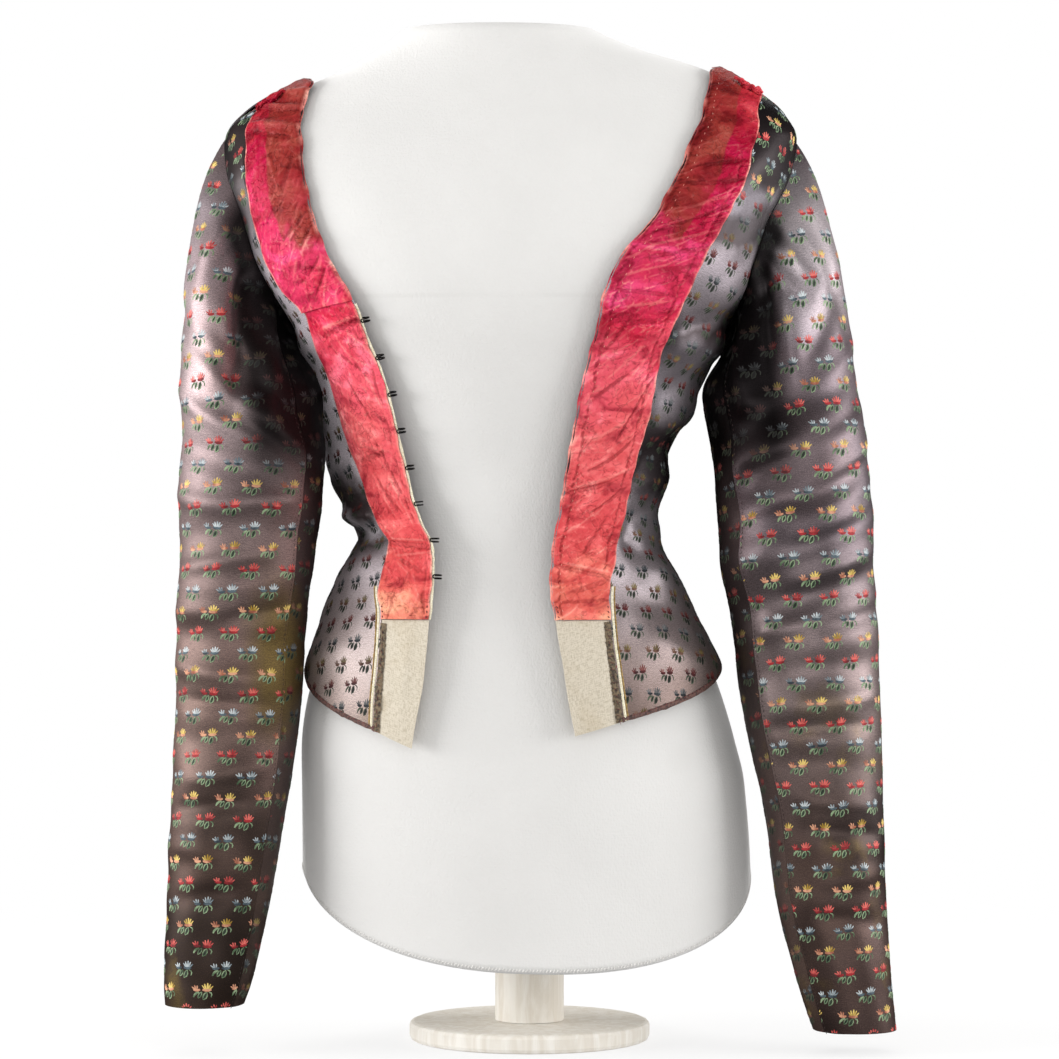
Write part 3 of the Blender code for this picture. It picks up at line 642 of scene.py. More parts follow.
def makeFormCover():
    look = Finish("formCover")
    place = look.coordinates()
    spots = look.split(place)
    cloud = look.noise(place, 6.0, 4.0)
    colour = look.mix(look.span(cloud, 0.3, 0.7), *coverLook["tones"])
    # A faint darker line along the chest seam: painted shade of the seam's shallow groove.
    seam = look.span(look.away(spots[2], coverLook["seamAt"]), 0.0006, 0.0022, 1.0, 0.0)
    seam = look.times(seam, look.span(spots[1], -0.06, -0.09))
    seam = look.times(seam, look.span(look.noise(place, 14.0, 2.0), 0.4, 0.65, 0.0, coverLook["seamShare"]))
    mark = look.patch(place, coverLook["markAt"], coverLook["markSize"], cloud)
    colour = look.mix(look.larger(seam, look.times(mark, coverLook["markShare"])), colour, coverLook["mark"])
    knit = look.noise(look.coordinates("Object", (1, 1, 0.6)), coverLook["knitScale"], 2.0)
    slub = look.noise(look.coordinates("Object", coverLook["slubScale"]), 1.0, 2.0)
    look.bump(look.plus(knit, look.times(slub, 0.4)), *coverLook["knit"])
    look.set(Base_Color=colour, **coverLook["shader"])
    return look.material


threadColours = {
    "paleThread": (rgb(212, 116, 104), rgb(230, 164, 146)),
    "darkThread": (rgb(40, 30, 30), rgb(74, 54, 50)),
    "redThread": (rgb(84, 26, 30), rgb(130, 50, 50)),
    "goldThread": (rgb(120, 92, 44), rgb(166, 138, 78)),
    "selvedgeDark": (rgb(54, 44, 35), rgb(122, 104, 78)),
    "hemCloth": (rgb(60, 42, 40), rgb(112, 78, 70)),
    "formThread": (rgb(216, 214, 210), rgb(238, 236, 232)),
}
threadLook = {"noise": (520.0, 4.0, 0.65), "span": (0.36, 0.62), "bump": (0.0001, 0.5), "Roughness": 0.75}
woodLook = {
    "tones": (rgb(236, 232, 224), rgb(222, 215, 203)),
    "noise": (6.0, 6.0, 0.6, 1.5),
    "span": (0.35, 0.65),
    "stretch": (14, 14, 2),
    "bump": (0.0002, 0.3),
    "Roughness": 0.6,
}
wireLook = {
    "tones": (rgb(22, 21, 22), rgb(78, 66, 58)),
    "noise": (900.0, 3.0),
    "span": (0.5, 0.75),
    "Metallic": 0.8,
    "Roughness": 0.38,
}


def twoTone(name, tones, noise, span, stretch=(1, 1, 1), bump=None, **shader):
    look = Finish(name)
    grain = look.noise(look.coordinates("Object", stretch), *noise)
    if bump:
        look.bump(grain, *bump)
    look.set(Base_Color=look.mix(look.span(grain, *span), *tones), **shader)
    return look.material


satin = {part: makeSatin(part) for part in satinLitAndShadedParts}
floss = {kind: makeFloss(kind) for kind in flossColours}
threads = {name: twoTone(name, tones, **threadLook) for name, tones in threadColours.items()}
ribbonSilk = makeRibbonSilk()
linen = makeLinen("linenWeave")
formCover = makeFormCover()
paleWood = twoTone("paleWood", **woodLook)
blackWire = twoTone("blackWire", **wireLook)
ivoryEdge = makeLinen("ivoryEdge")
print("finishes mixed")

# Dress form

FormSection = namedtuple("FormSection", "height centreX halfWidth frontDepth backDepth power")
formPiece = {
    "sections": rowsOf(
        FormSection,
        (40, -2, 155, 97, 105, 2.3), (110, -2, 156.5, 101, 111, 2.3), (180, -4.5, 154.5, 102, 114, 2.3),
        (210, -8, 151, 100, 112, 2.3), (236, -10, 145.5, 97, 108, 2.3), (258, -11, 138.5, 94, 102, 2.3),
        (279, -12, 130, 90.5, 95, 2.25), (321, -13.5, 111, 81, 78, 2.2), (352, -14.6, 101, 77, 68, 2.2),
        (390, -13.5, 103, 82, 68, 2.2), (426, -13, 112, 92, 73, 2.3), (466, -12.5, 127, 104, 81, 2.4),
        (500, -13, 146, 113, 89, 2.6), (520, -14, 159, 115, 93, 2.75), (545, -15, 172, 112, 96, 2.9),
        (575, -14.5, 181, 104, 97, 3), (605, -12, 188, 92, 95, 3), (628, -9.5, 189, 79, 89, 2.9),
        (640, -8.5, 183, 72, 84, 2.75), (654, -7.5, 169, 64, 79, 2.6), (664, -5, 153, 59, 76, 2.5),
        (672, -3, 137, 55, 73, 2.4), (680, -5, 119, 52, 70, 2.3), (688, -12, 98, 49, 67, 2.2),
        (698, -18.5, 78, 46.5, 64, 2.15), (705, -21.5, 67, 45, 62, 2.1),
    ),
    "hemSide": 122 * mm,
    "hemFront": 56 * mm,
    "hemBack": 66 * mm,
    "hemTurn": math.radians(6),
    "seat": 112 * mm,
    "seatShare": 0.3,
    "edgeRound": 2.5 * mm,
    "edgeShare": 0.6,
    "edgeDrop": 0.1 * mm,
    "underShares": (0, 0.25, 0.5, 0.75, 1),
    "neckShares": (0.98, 0.7, 0.4, 0.15),
    "rings": 108,
    "columns": 144,
    "normalStep": 2 * mm,
}
formCentre = byHeight(formPiece["sections"], "centreX")
formHalfWidth = byHeight(formPiece["sections"], "halfWidth")
formFront = byHeight(formPiece["sections"], "frontDepth")
formBack = byHeight(formPiece["sections"], "backDepth")
formPower = byHeight(formPiece["sections"], "power", 1.0)


def formPoint(angle, height):  # angle 0 is the front, and a positive one is to the wearer's left
    sine = np.sin(angle)
    cosine = np.cos(angle)
    bend = 2 / formPower(height)
    depth = np.where(cosine > 0, formFront(height), formBack(height))
    x = formCentre(height) + formHalfWidth(height) * np.sign(sine) * np.abs(sine) ** bend
    y = -depth * np.sign(cosine) * np.abs(cosine) ** bend
    return np.stack(np.broadcast_arrays(x, y, height), axis=-1)


def formNormal(angle, height):
    step = formPiece["normalStep"]
    turn = step / formHalfWidth(height)
    around = formPoint(angle + turn, height) - formPoint(angle - turn, height)
    upward = formPoint(angle, height + step) - formPoint(angle, height - step)
    return unit(np.cross(around, upward))


def angleAt(x, height, ease):  # where cloth that stands off by ease has this x
    share = np.clip((x - formCentre(height)) / (formHalfWidth(height) + ease), -1, 1)
    return np.arcsin(np.sign(share) * np.abs(share) ** (formPower(height) / 2))


def clothPoint(angle, height, ease):
    return formPoint(angle, height) + ease[..., None] * formNormal(angle, height)


def formHem(angle):  # high over the hips, low in front and behind
    facing = np.cos(angle - formPiece["hemTurn"])
    low = np.where(facing > 0, formPiece["hemFront"], formPiece["hemBack"])
    return formPiece["hemSide"] + (low - formPiece["hemSide"]) * np.abs(facing)


def makeForm():
    angle = np.linspace(0, 2 * math.pi, formPiece["columns"], endpoint=False)
    hem = formHem(angle)
    top = formPiece["sections"][-1].height * mm
    seat = formPoint(angle, np.full_like(angle, formPiece["seat"]))
    middle = np.array([0.0, 0.0, formPiece["seat"]])
    inner = middle + (seat - middle) * formPiece["seatShare"]
    low = formPoint(angle, hem)
    inward = unit(inner - low) * formPiece["edgeRound"]
    rings = [inner + (low + inward * 2 - inner) * share for share in formPiece["underShares"]]
    rings.append(low + inward * formPiece["edgeShare"] - np.array([0, 0, formPiece["edgeDrop"]]))
    rings += [formPoint(angle, hem + (top - hem) * share) for share in np.linspace(0, 1, formPiece["rings"])]
    neck = np.array([formPiece["sections"][-1].centreX * mm, 0, top])
    rings += [neck + (rings[-1] - neck) * share for share in formPiece["neckShares"]]
    mesh = closedMesh("formTorso", np.stack(rings), cappedFaces(len(rings), len(angle)))
    fromFrame(addObject("formTorso", mesh, formCover), "form_torso")


makeForm()
for node in ("form_post", "form_foot"):
    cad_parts[node].data.materials.clear()
    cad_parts[node].data.materials.append(paleWood)
print("dress form done")

# Body of the jacket

FrontStation = namedtuple("FrontStation", "edgeZ edgeX borderZ borderX sideAngle sideZ edgeEase borderEase")
BackStation = namedtuple("BackStation", "innerAngle innerLeft innerRight sideAngle sideZ")
SideEase = namedtuple("SideEase", "height right left")
bodyPiece = {
    "satin": 1.6 * mm,
    "wall": 0.9 * mm,
    "seamGap": 0.3 * mm,
    "steps": 9,
    "ribbonColumns": 16,
    "satinColumns": 44,
    "backColumns": 56,
    "ribbonEnd": 2,
    "ribbonJoin": 9,
    "underarm": 9,
    "backEase": 3.5,
    "closeSet": 1.32,
    "depth": {"front": 1.3, "back": 1.6},
    "grainStop": {"front": 30, "back": 60},
    "shadeTop": (0.65, 0.62),
    "sprigShadeTop": (0.59, 0.57),
    "uneven": 0.9,
    # painted shade on the sprigs of the backs
    "backSprigShade": 0.2,
    "seed": {"front": 11, "back": 21},
    "sewnFade": {"front": (4, 6), "back": (6, 6)},
}
border = bodyPiece["ribbonColumns"]  # the column where a front's ribbon or linen meets its satin
ribbonRow = bodyPiece["ribbonEnd"] * bodyPiece["steps"]  # where the linen ends and the ribbon starts
joinRow = bodyPiece["ribbonJoin"] * bodyPiece["steps"]  # where the right ribbon is pieced
# The painted shade on a front beside its sleeve: the share of its width and the heights where it starts,
# how dark it gets, and how far painted shade darkens the sprigs lower down
FrontShade = namedtuple("FrontShade", "nearSleeve low high depth dullness")
frontShades = {
    rightSide: FrontShade(0.25, 0.53, 0.57, 0.9, 0.84),
    leftSide: FrontShade(0.8, 0.44, 0.48, 0.9, 0.74),
}
frontStations = {
    leftSide: rowsOf(
        FrontStation,
        (216, 32, 225, 64, 95, 265, 10, 9), (256, 25, 256, 60, 95, 283, 12, 10),
        (291, 19, 291, 56, 95, 305, 15, 12), (316, 16, 316, 56, 95, 324, 17, 13),
        (341, 18, 338, 60, 95, 345, 18, 13), (369, 22, 369, 65, 95, 370, 16, 11),
        (396, 26, 396, 70, 95, 396, 13, 9), (436, 33, 436, 81, 95, 432, 10, 8),
        (483, 44, 480, 90, 95, 470, 7, 6), (513, 51, 507, 102, 95, 497, 6, 5),
        (534, 60, 530, 113, 83, 512, 5, 4.5), (570, 89, 559, 129, 72, 538, 4.5, 4),
        (597, 103, 587, 144, 71, 562, 4, 3.5), (622, 113, 612, 152, 77, 585, 3.5, 3.5),
        (650, 123, 637, 157, 83, 605, 3.5, 3.5), (662, 126, 648, 160, 86, 616, 3.5, 3.5),
        (670, 127, 654, 161, 88, 623, 3.5, 3.5), (675, 180, 658, 200, 90, 627, 3.5, 3.5),
    ),
    rightSide: rowsOf(
        FrontStation,
        (208, -81, 219, -106, -95, 265, 10, 9), (256, -73, 256, -104, -95, 283, 12, 10),
        (291, -70, 291, -102, -95, 305, 15, 12), (316, -68, 316, -103, -95, 324, 17, 13),
        (341, -68, 342, -96, -95, 345, 18, 13), (364, -76, 360, -103, -95, 370, 16, 11),
        (395, -84, 392, -114, -95, 396, 13, 10), (436, -93, 432, -128, -95, 432, 10, 9),
        (483, -108, 478, -143, -95, 470, 7, 6), (513, -120, 508, -153, -95, 497, 6, 5),
        (531, -131, 523, -168, -86, 512, 5, 4.5), (555, -143, 546, -180, -79, 538, 4.5, 4),
        (585, -152, 575, -189, -77, 562, 4, 3.5), (612, -156, 600, -193, -77, 585, 3.5, 3.5),
        (636, -157, 622, -194, -83, 605, 3.5, 3.5), (651, -155, 636, -192, -86, 616, 3.5, 3.5),
        (661, -151, 645, -186, -88, 623, 3.5, 3.5), (667, -180, 650, -200, -90, 627, 3.5, 3.5),
    ),
}
backStations = rowsOf(
    BackStation,
    (180, 240, 240, 95, 265), (180, 274, 274, 95, 283), (180, 302, 302, 95, 305), (180, 324, 324, 95, 324),
    (180, 345, 345, 95, 345), (180, 370, 370, 95, 370), (180, 397, 397, 95, 396), (180, 437, 437, 95, 432),
    (180, 480, 480, 95, 470), (180, 520, 520, 95, 497), (180, 556, 556, 99, 512), (180, 592, 592, 106, 535),
    (180, 618, 618, 110, 559), (161, 637, 635, 109, 582), (135, 652, 648, 103, 602), (112, 664, 658, 97, 615),
    (98, 671, 664, 93, 623), (90, 675, 667, 90, 627),
)
sideEases = rowsOf(
    SideEase,
    (225, 3, 3), (250, 3, 3), (275, 5.5, 5), (303, 9, 6), (345, 3, 2), (370, 12, 2), (393, 22, 2),
    (411, 22, 2.5), (428, 20, 5), (447, 17.5, 7.5), (470, 15, 9), (484, 11.5, 7), (497, 4.5, 4.5),
    (520, 3.5, 3.5), (560, 4, 3.5), (600, 9, 4.5), (627, 13, 6),
)
sideEase = {rightSide: byHeight(sideEases, "right"), leftSide: byHeight(sideEases, "left")}

# Creases of the fronts, at x and height as seen from the front
frontCreases = {
    rightSide: rowsOf(
        Crease,
        (-114, 366, 4, 44, 4.6, 2.6, 0.3), (-113, 354, 8, 40, 6, -4), (-120, 379, -14, 36, 7, -2.4),
        (-126, 398, -20, 40, 8, 1.6), (-120, 330, 30, 40, 7, 1.4), (-128, 300, 40, 52, 9, -1.4),
        (-140, 268, 30, 46, 8, 1.2), (-150, 470, 62, 60, 7, -1.4), (-139, 440, 66, 60, 6, 1.2),
        (-168, 560, 60, 60, 9, -1.6), (-196, 600, 70, 50, 9, 1.4),
    ),
    leftSide: rowsOf(
        Crease,
        (82, 334, -58, 46, 6, 3.2), (70, 346, -40, 40, 7, -3), (80, 366, 10, 50, 9, -2),
        (94, 392, 14, 50, 8, 2.2), (96, 414, 24, 60, 8, -2.8), (104, 434, 28, 60, 7, 2.4),
        (110, 458, 20, 64, 8, -2.6), (118, 480, 14, 60, 8, 2.6), (124, 500, 16, 60, 7, -2.8),
        (138, 520, 40, 50, 8, 1.8), (150, 574, 60, 60, 9, -1.6), (172, 600, 70, 50, 9, -1.6),
        (98, 300, -20, 60, 9, -1.6), (110, 270, -24, 60, 9, 1.4),
    ),
}
# Creases of the backs, at x and height as seen from behind, measured outward from the middle
backCreases = rowsOf(
    Crease,
    (40, 350, -8, 70, 7, -1.8), (70, 364, -14, 60, 7, 1.6), (60, 332, 10, 60, 8, -1.4),
    (90, 420, 30, 70, 9, -1.6), (110, 470, 36, 70, 9, 1.6), (60, 520, 70, 90, 10, -1.2),
    (120, 560, 60, 70, 9, -1.6), (100, 290, -70, 60, 9, 1.4), (50, 280, 80, 60, 9, -1.2),
    (130, 280, -60, 50, 8, -1.2),
)


def atSteps(table, column, scale=mm):
    return stepped(columnOf(table, column, scale), bodyPiece["steps"])


def frontSheet(side):  # rows from hem to shoulder, columns from the free edge to the side
    table = frontStations[side]
    lines = []
    for line in ("edge", "border"):
        x, height, ease = (columnOf(table, line + column) for column in ("X", "Z", "Ease"))
        angle = stepped(angleAt(x, height, ease), bodyPiece["steps"])
        lines.append((angle, atSteps(table, line + "Z"), atSteps(table, line + "Ease")))
    sideZ = atSteps(table, "sideZ")
    lines.append((atSteps(table, "sideAngle", math.pi / 180), sideZ, sideEase[side](sideZ)))
    near = np.linspace(0, 1, border + 1)
    far = np.linspace(0, 1, bodyPiece["satinColumns"] + 1)[1:]
    return clothPoint(*(
        np.hstack([mixed(edge, inside, near), mixed(inside, flank, far)])
        for edge, inside, flank in zip(*lines)
    ))


def backSheet(side):  # columns from the centre seam to the side
    innerZ = atSteps(backStations, "innerLeft" if side == leftSide else "innerRight")
    sideZ = atSteps(backStations, "sideZ")
    innerAngle = atSteps(backStations, "innerAngle", math.pi / 180)
    sideAngle = atSteps(backStations, "sideAngle", math.pi / 180)
    innerEase = np.full_like(innerZ, bodyPiece["backEase"] * mm)
    share = np.linspace(0, 1, bodyPiece["backColumns"] + 1)
    angle = side * mixed(innerAngle, sideAngle, share)
    return clothPoint(angle, mixed(innerZ, sideZ, share), mixed(innerEase, sideEase[side](sideZ), share))


def drawnIn(points, lastRow=0.0, firstColumn=0.0, lastColumn=0.0):
    points = points.copy()
    points[-1] += unit(points[-2] - points[-1]) * lastRow
    points[:, 0] += unit(points[:, 1] - points[:, 0]) * firstColumn
    points[:, -1] += unit(points[:, -2] - points[:, -1]) * lastColumn
    return points


def edgeFade(rows, columns, first, last):  # creases die away at sewn edges
    index = np.arange(columns)
    fade = np.clip(index / first, 0, 1) * np.clip((columns - 1 - index) / last, 0, 1)
    return np.broadcast_to(fade, (rows, columns))


# Flattening a panel, so that its pattern lies as it did on the bolt


def flattened(points, outward, grain, upward):  # grain is the first row, last row and column to set upright
    rows, columns = (
        np.unique(np.linspace(0, count - 1, min(count, most)).round().astype(int))
        for count, most in zip(points.shape, bolt["coarse"])
    )
    coarse = points[np.ix_(rows, columns)]
    faces = faceOutward(coarse, gridFaces(*coarse.shape[:2]), outward[np.ix_(rows, columns)])
    mesh = meshOf("flat", coarse, faces, np.zeros(coarse.shape[:2] + (2,)))
    helper = linked("flat", mesh)
    bpy.context.view_layer.objects.active = helper
    bpy.ops.object.mode_set(mode="EDIT")
    bpy.ops.mesh.select_all(action="SELECT")
    bpy.ops.uv.unwrap(method="ANGLE_BASED", margin=0.0)
    bpy.ops.object.mode_set(mode="OBJECT")
    found = np.zeros(len(mesh.loops) * 2, np.float32)
    mesh.uv_layers["lay"].uv.foreach_get("vector", found)
    flat = np.zeros((len(mesh.vertices), 2))
    flat[cornerPoints(mesh)] = found.reshape(-1, 2)
    bpy.data.objects.remove(helper)
    bpy.data.meshes.remove(mesh)
    flat = flat.reshape(coarse.shape[:2] + (2,))
    across = np.diff(flat, axis=1)[:-1]
    along = np.diff(flat, axis=0)[:, :-1]
    flatArea = np.abs(across[..., 0] * along[..., 1] - across[..., 1] * along[..., 0]).sum()
    flat *= math.sqrt(areaOf(coarse) / flatArea)
    column = int(np.abs(columns - grain[2]).argmin())
    first, last = (int(np.abs(rows - row).argmin()) for row in grain[:2])
    line = (flat[last, column] - flat[first, column]) * upward
    turn = math.pi / 2 - math.atan2(line[1], line[0])
    spin = np.array([[math.cos(turn), -math.sin(turn)], [math.sin(turn), math.cos(turn)]])
    flat = flat @ spin.T
    wide = np.arange(points.shape[1])
    tall = np.arange(points.shape[0])
    full = np.empty(points.shape[:2] + (2,))
    for k in (0, 1):
        byRow = np.array([np.interp(wide, columns, line) for line in flat[..., k]])
        full[..., k] = np.array([np.interp(tall, rows, line) for line in byRow.T]).T
    return full


bolt = {
    "coarse": (64, 24),
    "margin": 0.03,
    "reach": 0.0,
    "count": 0,
    "points": [],
    "uv": [],
    "faces": [],
    "dull": [],
}


def layOnBolt(points, uv, faces, dull):  # lay a cut piece on the patterned cloth beside the last one
    low = uv.reshape(-1, 2).min(axis=0)
    high = uv.reshape(-1, 2).max(axis=0)
    uv = uv - low + np.array([bolt["reach"], bolt["margin"]])
    bolt["reach"] += float(high[0] - low[0]) + bolt["margin"]
    bolt["points"].append(points.reshape(-1, 3))
    bolt["uv"].append(uv.reshape(-1, 2))
    bolt["faces"].append(faces + bolt["count"])
    bolt["dull"].append(np.broadcast_to(dull, points.shape[:2]).ravel())
    bolt["count"] += points.shape[0] * points.shape[1]
    return uv


def boxSize(uv):
    return uv.reshape(-1, 2).max(axis=0) - uv.reshape(-1, 2).min(axis=0)


sideNames = {rightSide: "right", leftSide: "left"}
sheets = {}
cloths = {}
trims = {}


def asCloth(made, node, slot, **cut):  # cut says how the cloth was cut and how it is held
    fromFrame(made, node)
    cloths[made] = cut


def asTrim(made, slot, *carriers):  # carriers name the cloths that it is sewn or woven into
    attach(made, "root")
    for carrier in carriers:
        trims.setdefault(carrier, []).append(made)


def creasedPanel(side, panel, inner, a, creases, fade, firstColumn):
    out = gridNormals(inner, bodyAxis(inner))
    sheets[sideNames[side], panel] = (inner, out)
    b = inner[..., 2] / mm
    uneven = softUneven(a, b, bodyPiece["uneven"], bodyPiece["seed"][panel] + side)
    lift = creaseLift(creases, a, b) * bodyPiece["depth"][panel] + uneven
    face = inner + out * (bodyPiece["satin"] + lift * fade)[..., None]
    return drawnIn(face, bodyPiece["seamGap"], firstColumn, bodyPiece["seamGap"] / 2), out


def satinPiece(title, node, face, out, uv, finish, wall, area, dull, held, restsOn,
               shown=slice(None), kept=slice(None), spread=1.0, **tints):
    faces = faceOutward(face, gridFaces(*face.shape[:2]), out)
    size = boxSize(uv)
    uv = layOnBolt(face, uv * np.array([spread, 1.0]), faces[shown], dull)
    made = addObject(title, meshOf(title, face, faces[kept], uv), finish)
    for tint, values in tints.items():
        tinted(made.data, tint, values)
    walled(made, wall)
    asCloth(made, node, "brocaded_satin", flat=size, held=held, rests_on=[restsOn], area=area)
    print(title, "cut", size.round(3), "area", round(area, 4))


def makeFronts():
    for side, name in sideNames.items():
        inner = frontSheet(side)
        rows, columns = inner.shape[:2]
        index = np.arange(columns)
        fade = edgeFade(rows, columns, *bodyPiece["sewnFade"]["front"])
        fade = fade * smoothStep(border - 1, border + 5, index)
        a = inner[..., 0] / mm
        face, out = creasedPanel(side, "front", inner, a, frontCreases[side], fade, 0.0)
        uv = flattened(inner, out, (0, rows - bodyPiece["grainStop"]["front"], border), 1)
        row, column = np.divmod(gridFaces(rows, columns)[:, 0], columns)
        shade = frontShades[side]
        level = inner[..., 2]
        outer = (index - border) / (columns - border)
        # painted shade beside the sleeve, and painted shade on the sprigs lower down
        nearSleeve = smoothStep(shade.nearSleeve, 1.0, outer) * smoothStep(shade.low, shade.high, level)
        deep = shade.depth * nearSleeve * smoothStep(*bodyPiece["shadeTop"], level)
        dull = np.maximum(deep, shade.dullness * smoothStep(*bodyPiece["sprigShadeTop"], level))
        area = areaOf(face) - areaOf(face[: ribbonRow + 1, : border + 1])
        satinPiece(
            "front" + name.capitalize(), "front_" + name, face, out, uv, satin[name], bodyPiece["wall"],
            area, dull, "draped", "form_torso",
            shown=column >= border, kept=(row >= ribbonRow) | (column >= border),
            spread=bodyPiece["closeSet"], deep=deep,
        )


def makeBacks():
    for side, name in sideNames.items():
        inner = backSheet(side)
        rows, columns = inner.shape[:2]
        fade = edgeFade(rows, columns, *bodyPiece["sewnFade"]["back"])
        a = np.abs(inner[..., 0]) / mm
        half = bodyPiece["seamGap"] / 2
        face, out = creasedPanel(side, "back", inner, a, backCreases, fade, half)
        uv = flattened(inner, out, (0, rows - bodyPiece["grainStop"]["back"], 0), 1)
        satinPiece(
            "back" + name.capitalize(), "back_" + name, face, out, uv, satin["back"], bodyPiece["wall"],
            areaOf(face), bodyPiece["backSprigShade"], "draped", "form_torso",
        )


makeFronts()
makeBacks()
print("body panels done")

# Sleeves

SleeveSection = namedtuple("SleeveSection", "height centreX centreY halfWidth halfDepth")
sleevePiece = {
    "rise": 0.35 * mm,
    "inset": 0.4 * mm,
    "wall": 0.8 * mm,
    "frontSeam": 140,
    "backSeam": -105,
    "radius": 45.0,
    "cuffFade": 30 * mm,
    "capRows": 64,
    "armRows": 170,
    "topColumns": 84,
    "underColumns": 40,
    "capGap": 0.5 * mm,
    "armGap": 0.2 * mm,
    "pullTop": 140 * mm,
    "pullUnder": 60 * mm,
    "slopeTop": 54.0,
    "slopeUnder": 75.0,
    "capSpread": 0.3,
    "armPullTop": 190 * mm,
    "armPullUnder": 55 * mm,
    "creaseDepth": 1.2,
    # painted shade beside the armhole and under the arm, and on the sprigs of the under sleeves
    "shade": 0.95,
    "besideFrom": (34 * mm, 14 * mm),
    "besideRound": (48, 72),
    "besideTop": (0.61, 0.58),
    "belowFrom": (0.36, 0.42),
    "belowRound": (74, 104),
    "belowTop": (0.59, 0.53),
    "grainAt": {"Top": 20, "Under": 197},
    "dull": {"Top": 0.0, "Under": 0.72},
    "sewnFade": (4, 4),
    "seed": 31,
}
sleeveSections = {
    leftSide: rowsOf(
        SleeveSection,
        (446, 175, -22, 54.7, 48), (411, 180, -27, 54.4, 48), (376, 183, -31, 53.6, 47),
        (340, 184.5, -34, 53.6, 46.5), (293, 189.7, -37, 50.8, 45), (245, 193, -41, 48.4, 43),
        (201, 197.5, -45, 45, 41), (162, 202.3, -49, 40.6, 38), (107, 206.2, -55, 38, 35),
        (62, 212.7, -60, 33.8, 32), (33, 218.2, -63, 30.8, 29.5), (15, 222, -64, 28.5, 28),
    ),
    rightSide: rowsOf(
        SleeveSection,
        (446, -195.5, -24, 46.5, 46), (411, -191.5, -29, 50.3, 46), (376, -192.6, -32, 49.6, 45.5),
        (335, -195.4, -35, 46.8, 44), (286, -199, -38, 44.7, 42), (241, -200.2, -41, 43.4, 40.5),
        (201, -203.1, -45, 41.8, 39), (147, -208.5, -50, 38.5, 36.5), (85, -214.9, -57, 33.9, 32.5),
        (46, -220.1, -61, 29.9, 29.5), (32, -222, -62, 27, 28),
    ),
}
# The folds that the solids have too: round the sleeve in degrees, height, slope, length, width and depth
Fold = namedtuple("Fold", "roundAngle height slope length width depth")
sleeveFolds = {
    leftSide: rowsOf(
        Fold,
        (70, 452, -28, 130, 15, -4), (80, 418, -26, 140, 13, 3), (75, 384, -24, 130, 13, -4),
        (85, 348, -20, 120, 13, 2.5), (80, 312, -14, 110, 13, -3), (70, 262, -8, 100, 12, -2.5),
        (85, 196, 6, 90, 12, -2), (-80, 410, 20, 110, 14, -3.5), (-70, 330, 12, 110, 14, -3),
    ),
    rightSide: rowsOf(
        Fold,
        (92, 442, -46, 90, 10, 3.5), (112, 452, -50, 90, 12, -4.5), (60, 405, -20, 100, 12, -3),
        (85, 352, 4, 100, 13, -3), (80, 318, 6, 100, 12, 2), (75, 280, -5, 100, 13, -3),
        (90, 215, 4, 90, 12, -2), (-80, 400, 20, 110, 14, -3.5), (-75, 320, 10, 110, 14, -3),
    ),
}
# Smaller creases between them: round the sleeve in millimetres from its outer side, and height
sleeveCreases = {
    leftSide: rowsOf(
        Crease,
        (80, 504, 84, 120, 9, -7), (104, 490, 80, 110, 9, 5), (48, 560, 70, 60, 5, -1.6),
        (58, 556, 66, 44, 3, 1.2), (66, 548, 60, 44, 3.2, -1.4),
        (73, 542, 56, 40, 2.8, 1.1), (80, 534, 52, 40, 3.2, -1.3), (20, 520, 80, 90, 10, -1.8),
        (40, 496, -58, 70, 8, -2), (26, 470, -34, 80, 8, 1.8), (30, 436, -30, 90, 8, -2),
        (96, 440, -20, 60, 7, 1.4), (34, 402, -28, 80, 7, 1.6), (90, 398, -24, 60, 7, -1.6),
        (40, 366, -24, 80, 7, -1.6), (98, 362, -14, 60, 7, 1.2), (44, 332, -20, 80, 7, 1.5),
        (36, 296, -12, 80, 7, -1.5), (92, 288, -10, 60, 7, 1.2), (50, 240, -6, 80, 7, 1.2),
        (70, 222, -2, 80, 6, -1.3), (60, 170, 6, 70, 7, 1.1), (56, 150, 4, 70, 6, -1.2),
        (50, 120, -4, 60, 7, 1), (60, 92, 5, 60, 7, -1), (-50, 460, 28, 90, 9, 2), (-60, 370, 18, 90, 9, 2),
        (-50, 280, 10, 80, 8, -1.6), (-55, 220, -6, 80, 8, 1.4), (-50, 150, 8, 70, 8, -1.2),
        (-30, 540, -70, 80, 9, -1.6), (-64, 540, -60, 60, 7, 1.5),
    ),
    rightSide: rowsOf(
        Crease,
        (141, 468, 90, 64, 26, 7), (-141, 468, 90, 64, 26, 7),
        (74, 500, 80, 120, 9, -7), (98, 480, 76, 110, 9, 5), (60, 560, 64, 70, 8, -1.8),
        (76, 556, 60, 60, 5, -2.2), (40, 540, 74, 80, 9, 1.4),
        (84, 520, 58, 70, 7, 2), (30, 490, -30, 80, 9, -1.6), (56, 478, -36, 70, 7, 1.5),
        (40, 436, -26, 80, 7, 1.6), (96, 410, -38, 60, 6, -2), (30, 376, -8, 80, 7, 1.5),
        (90, 376, 2, 60, 6, 1.2), (50, 334, 8, 80, 6, -1.6), (92, 300, 8, 60, 6, -1.2),
        (40, 300, 2, 80, 7, 1.2), (50, 258, -6, 80, 6, 1.2), (60, 238, -4, 80, 6, -1.3),
        (66, 190, 8, 70, 7, 1.1), (56, 168, 4, 70, 6, -1.2), (48, 138, -4, 60, 7, 1), (60, 108, 6, 60, 7, -1),
        (-50, 460, 28, 90, 9, 2), (-60, 366, 18, 90, 9, 2), (-50, 276, 10, 80, 8, -1.6),
        (-55, 214, -6, 80, 8, 1.4), (-50, 150, 8, 70, 8, -1.2), (-30, 540, -70, 80, 9, -1.6),
        (-64, 540, -60, 60, 7, 1.5),
    ),
}


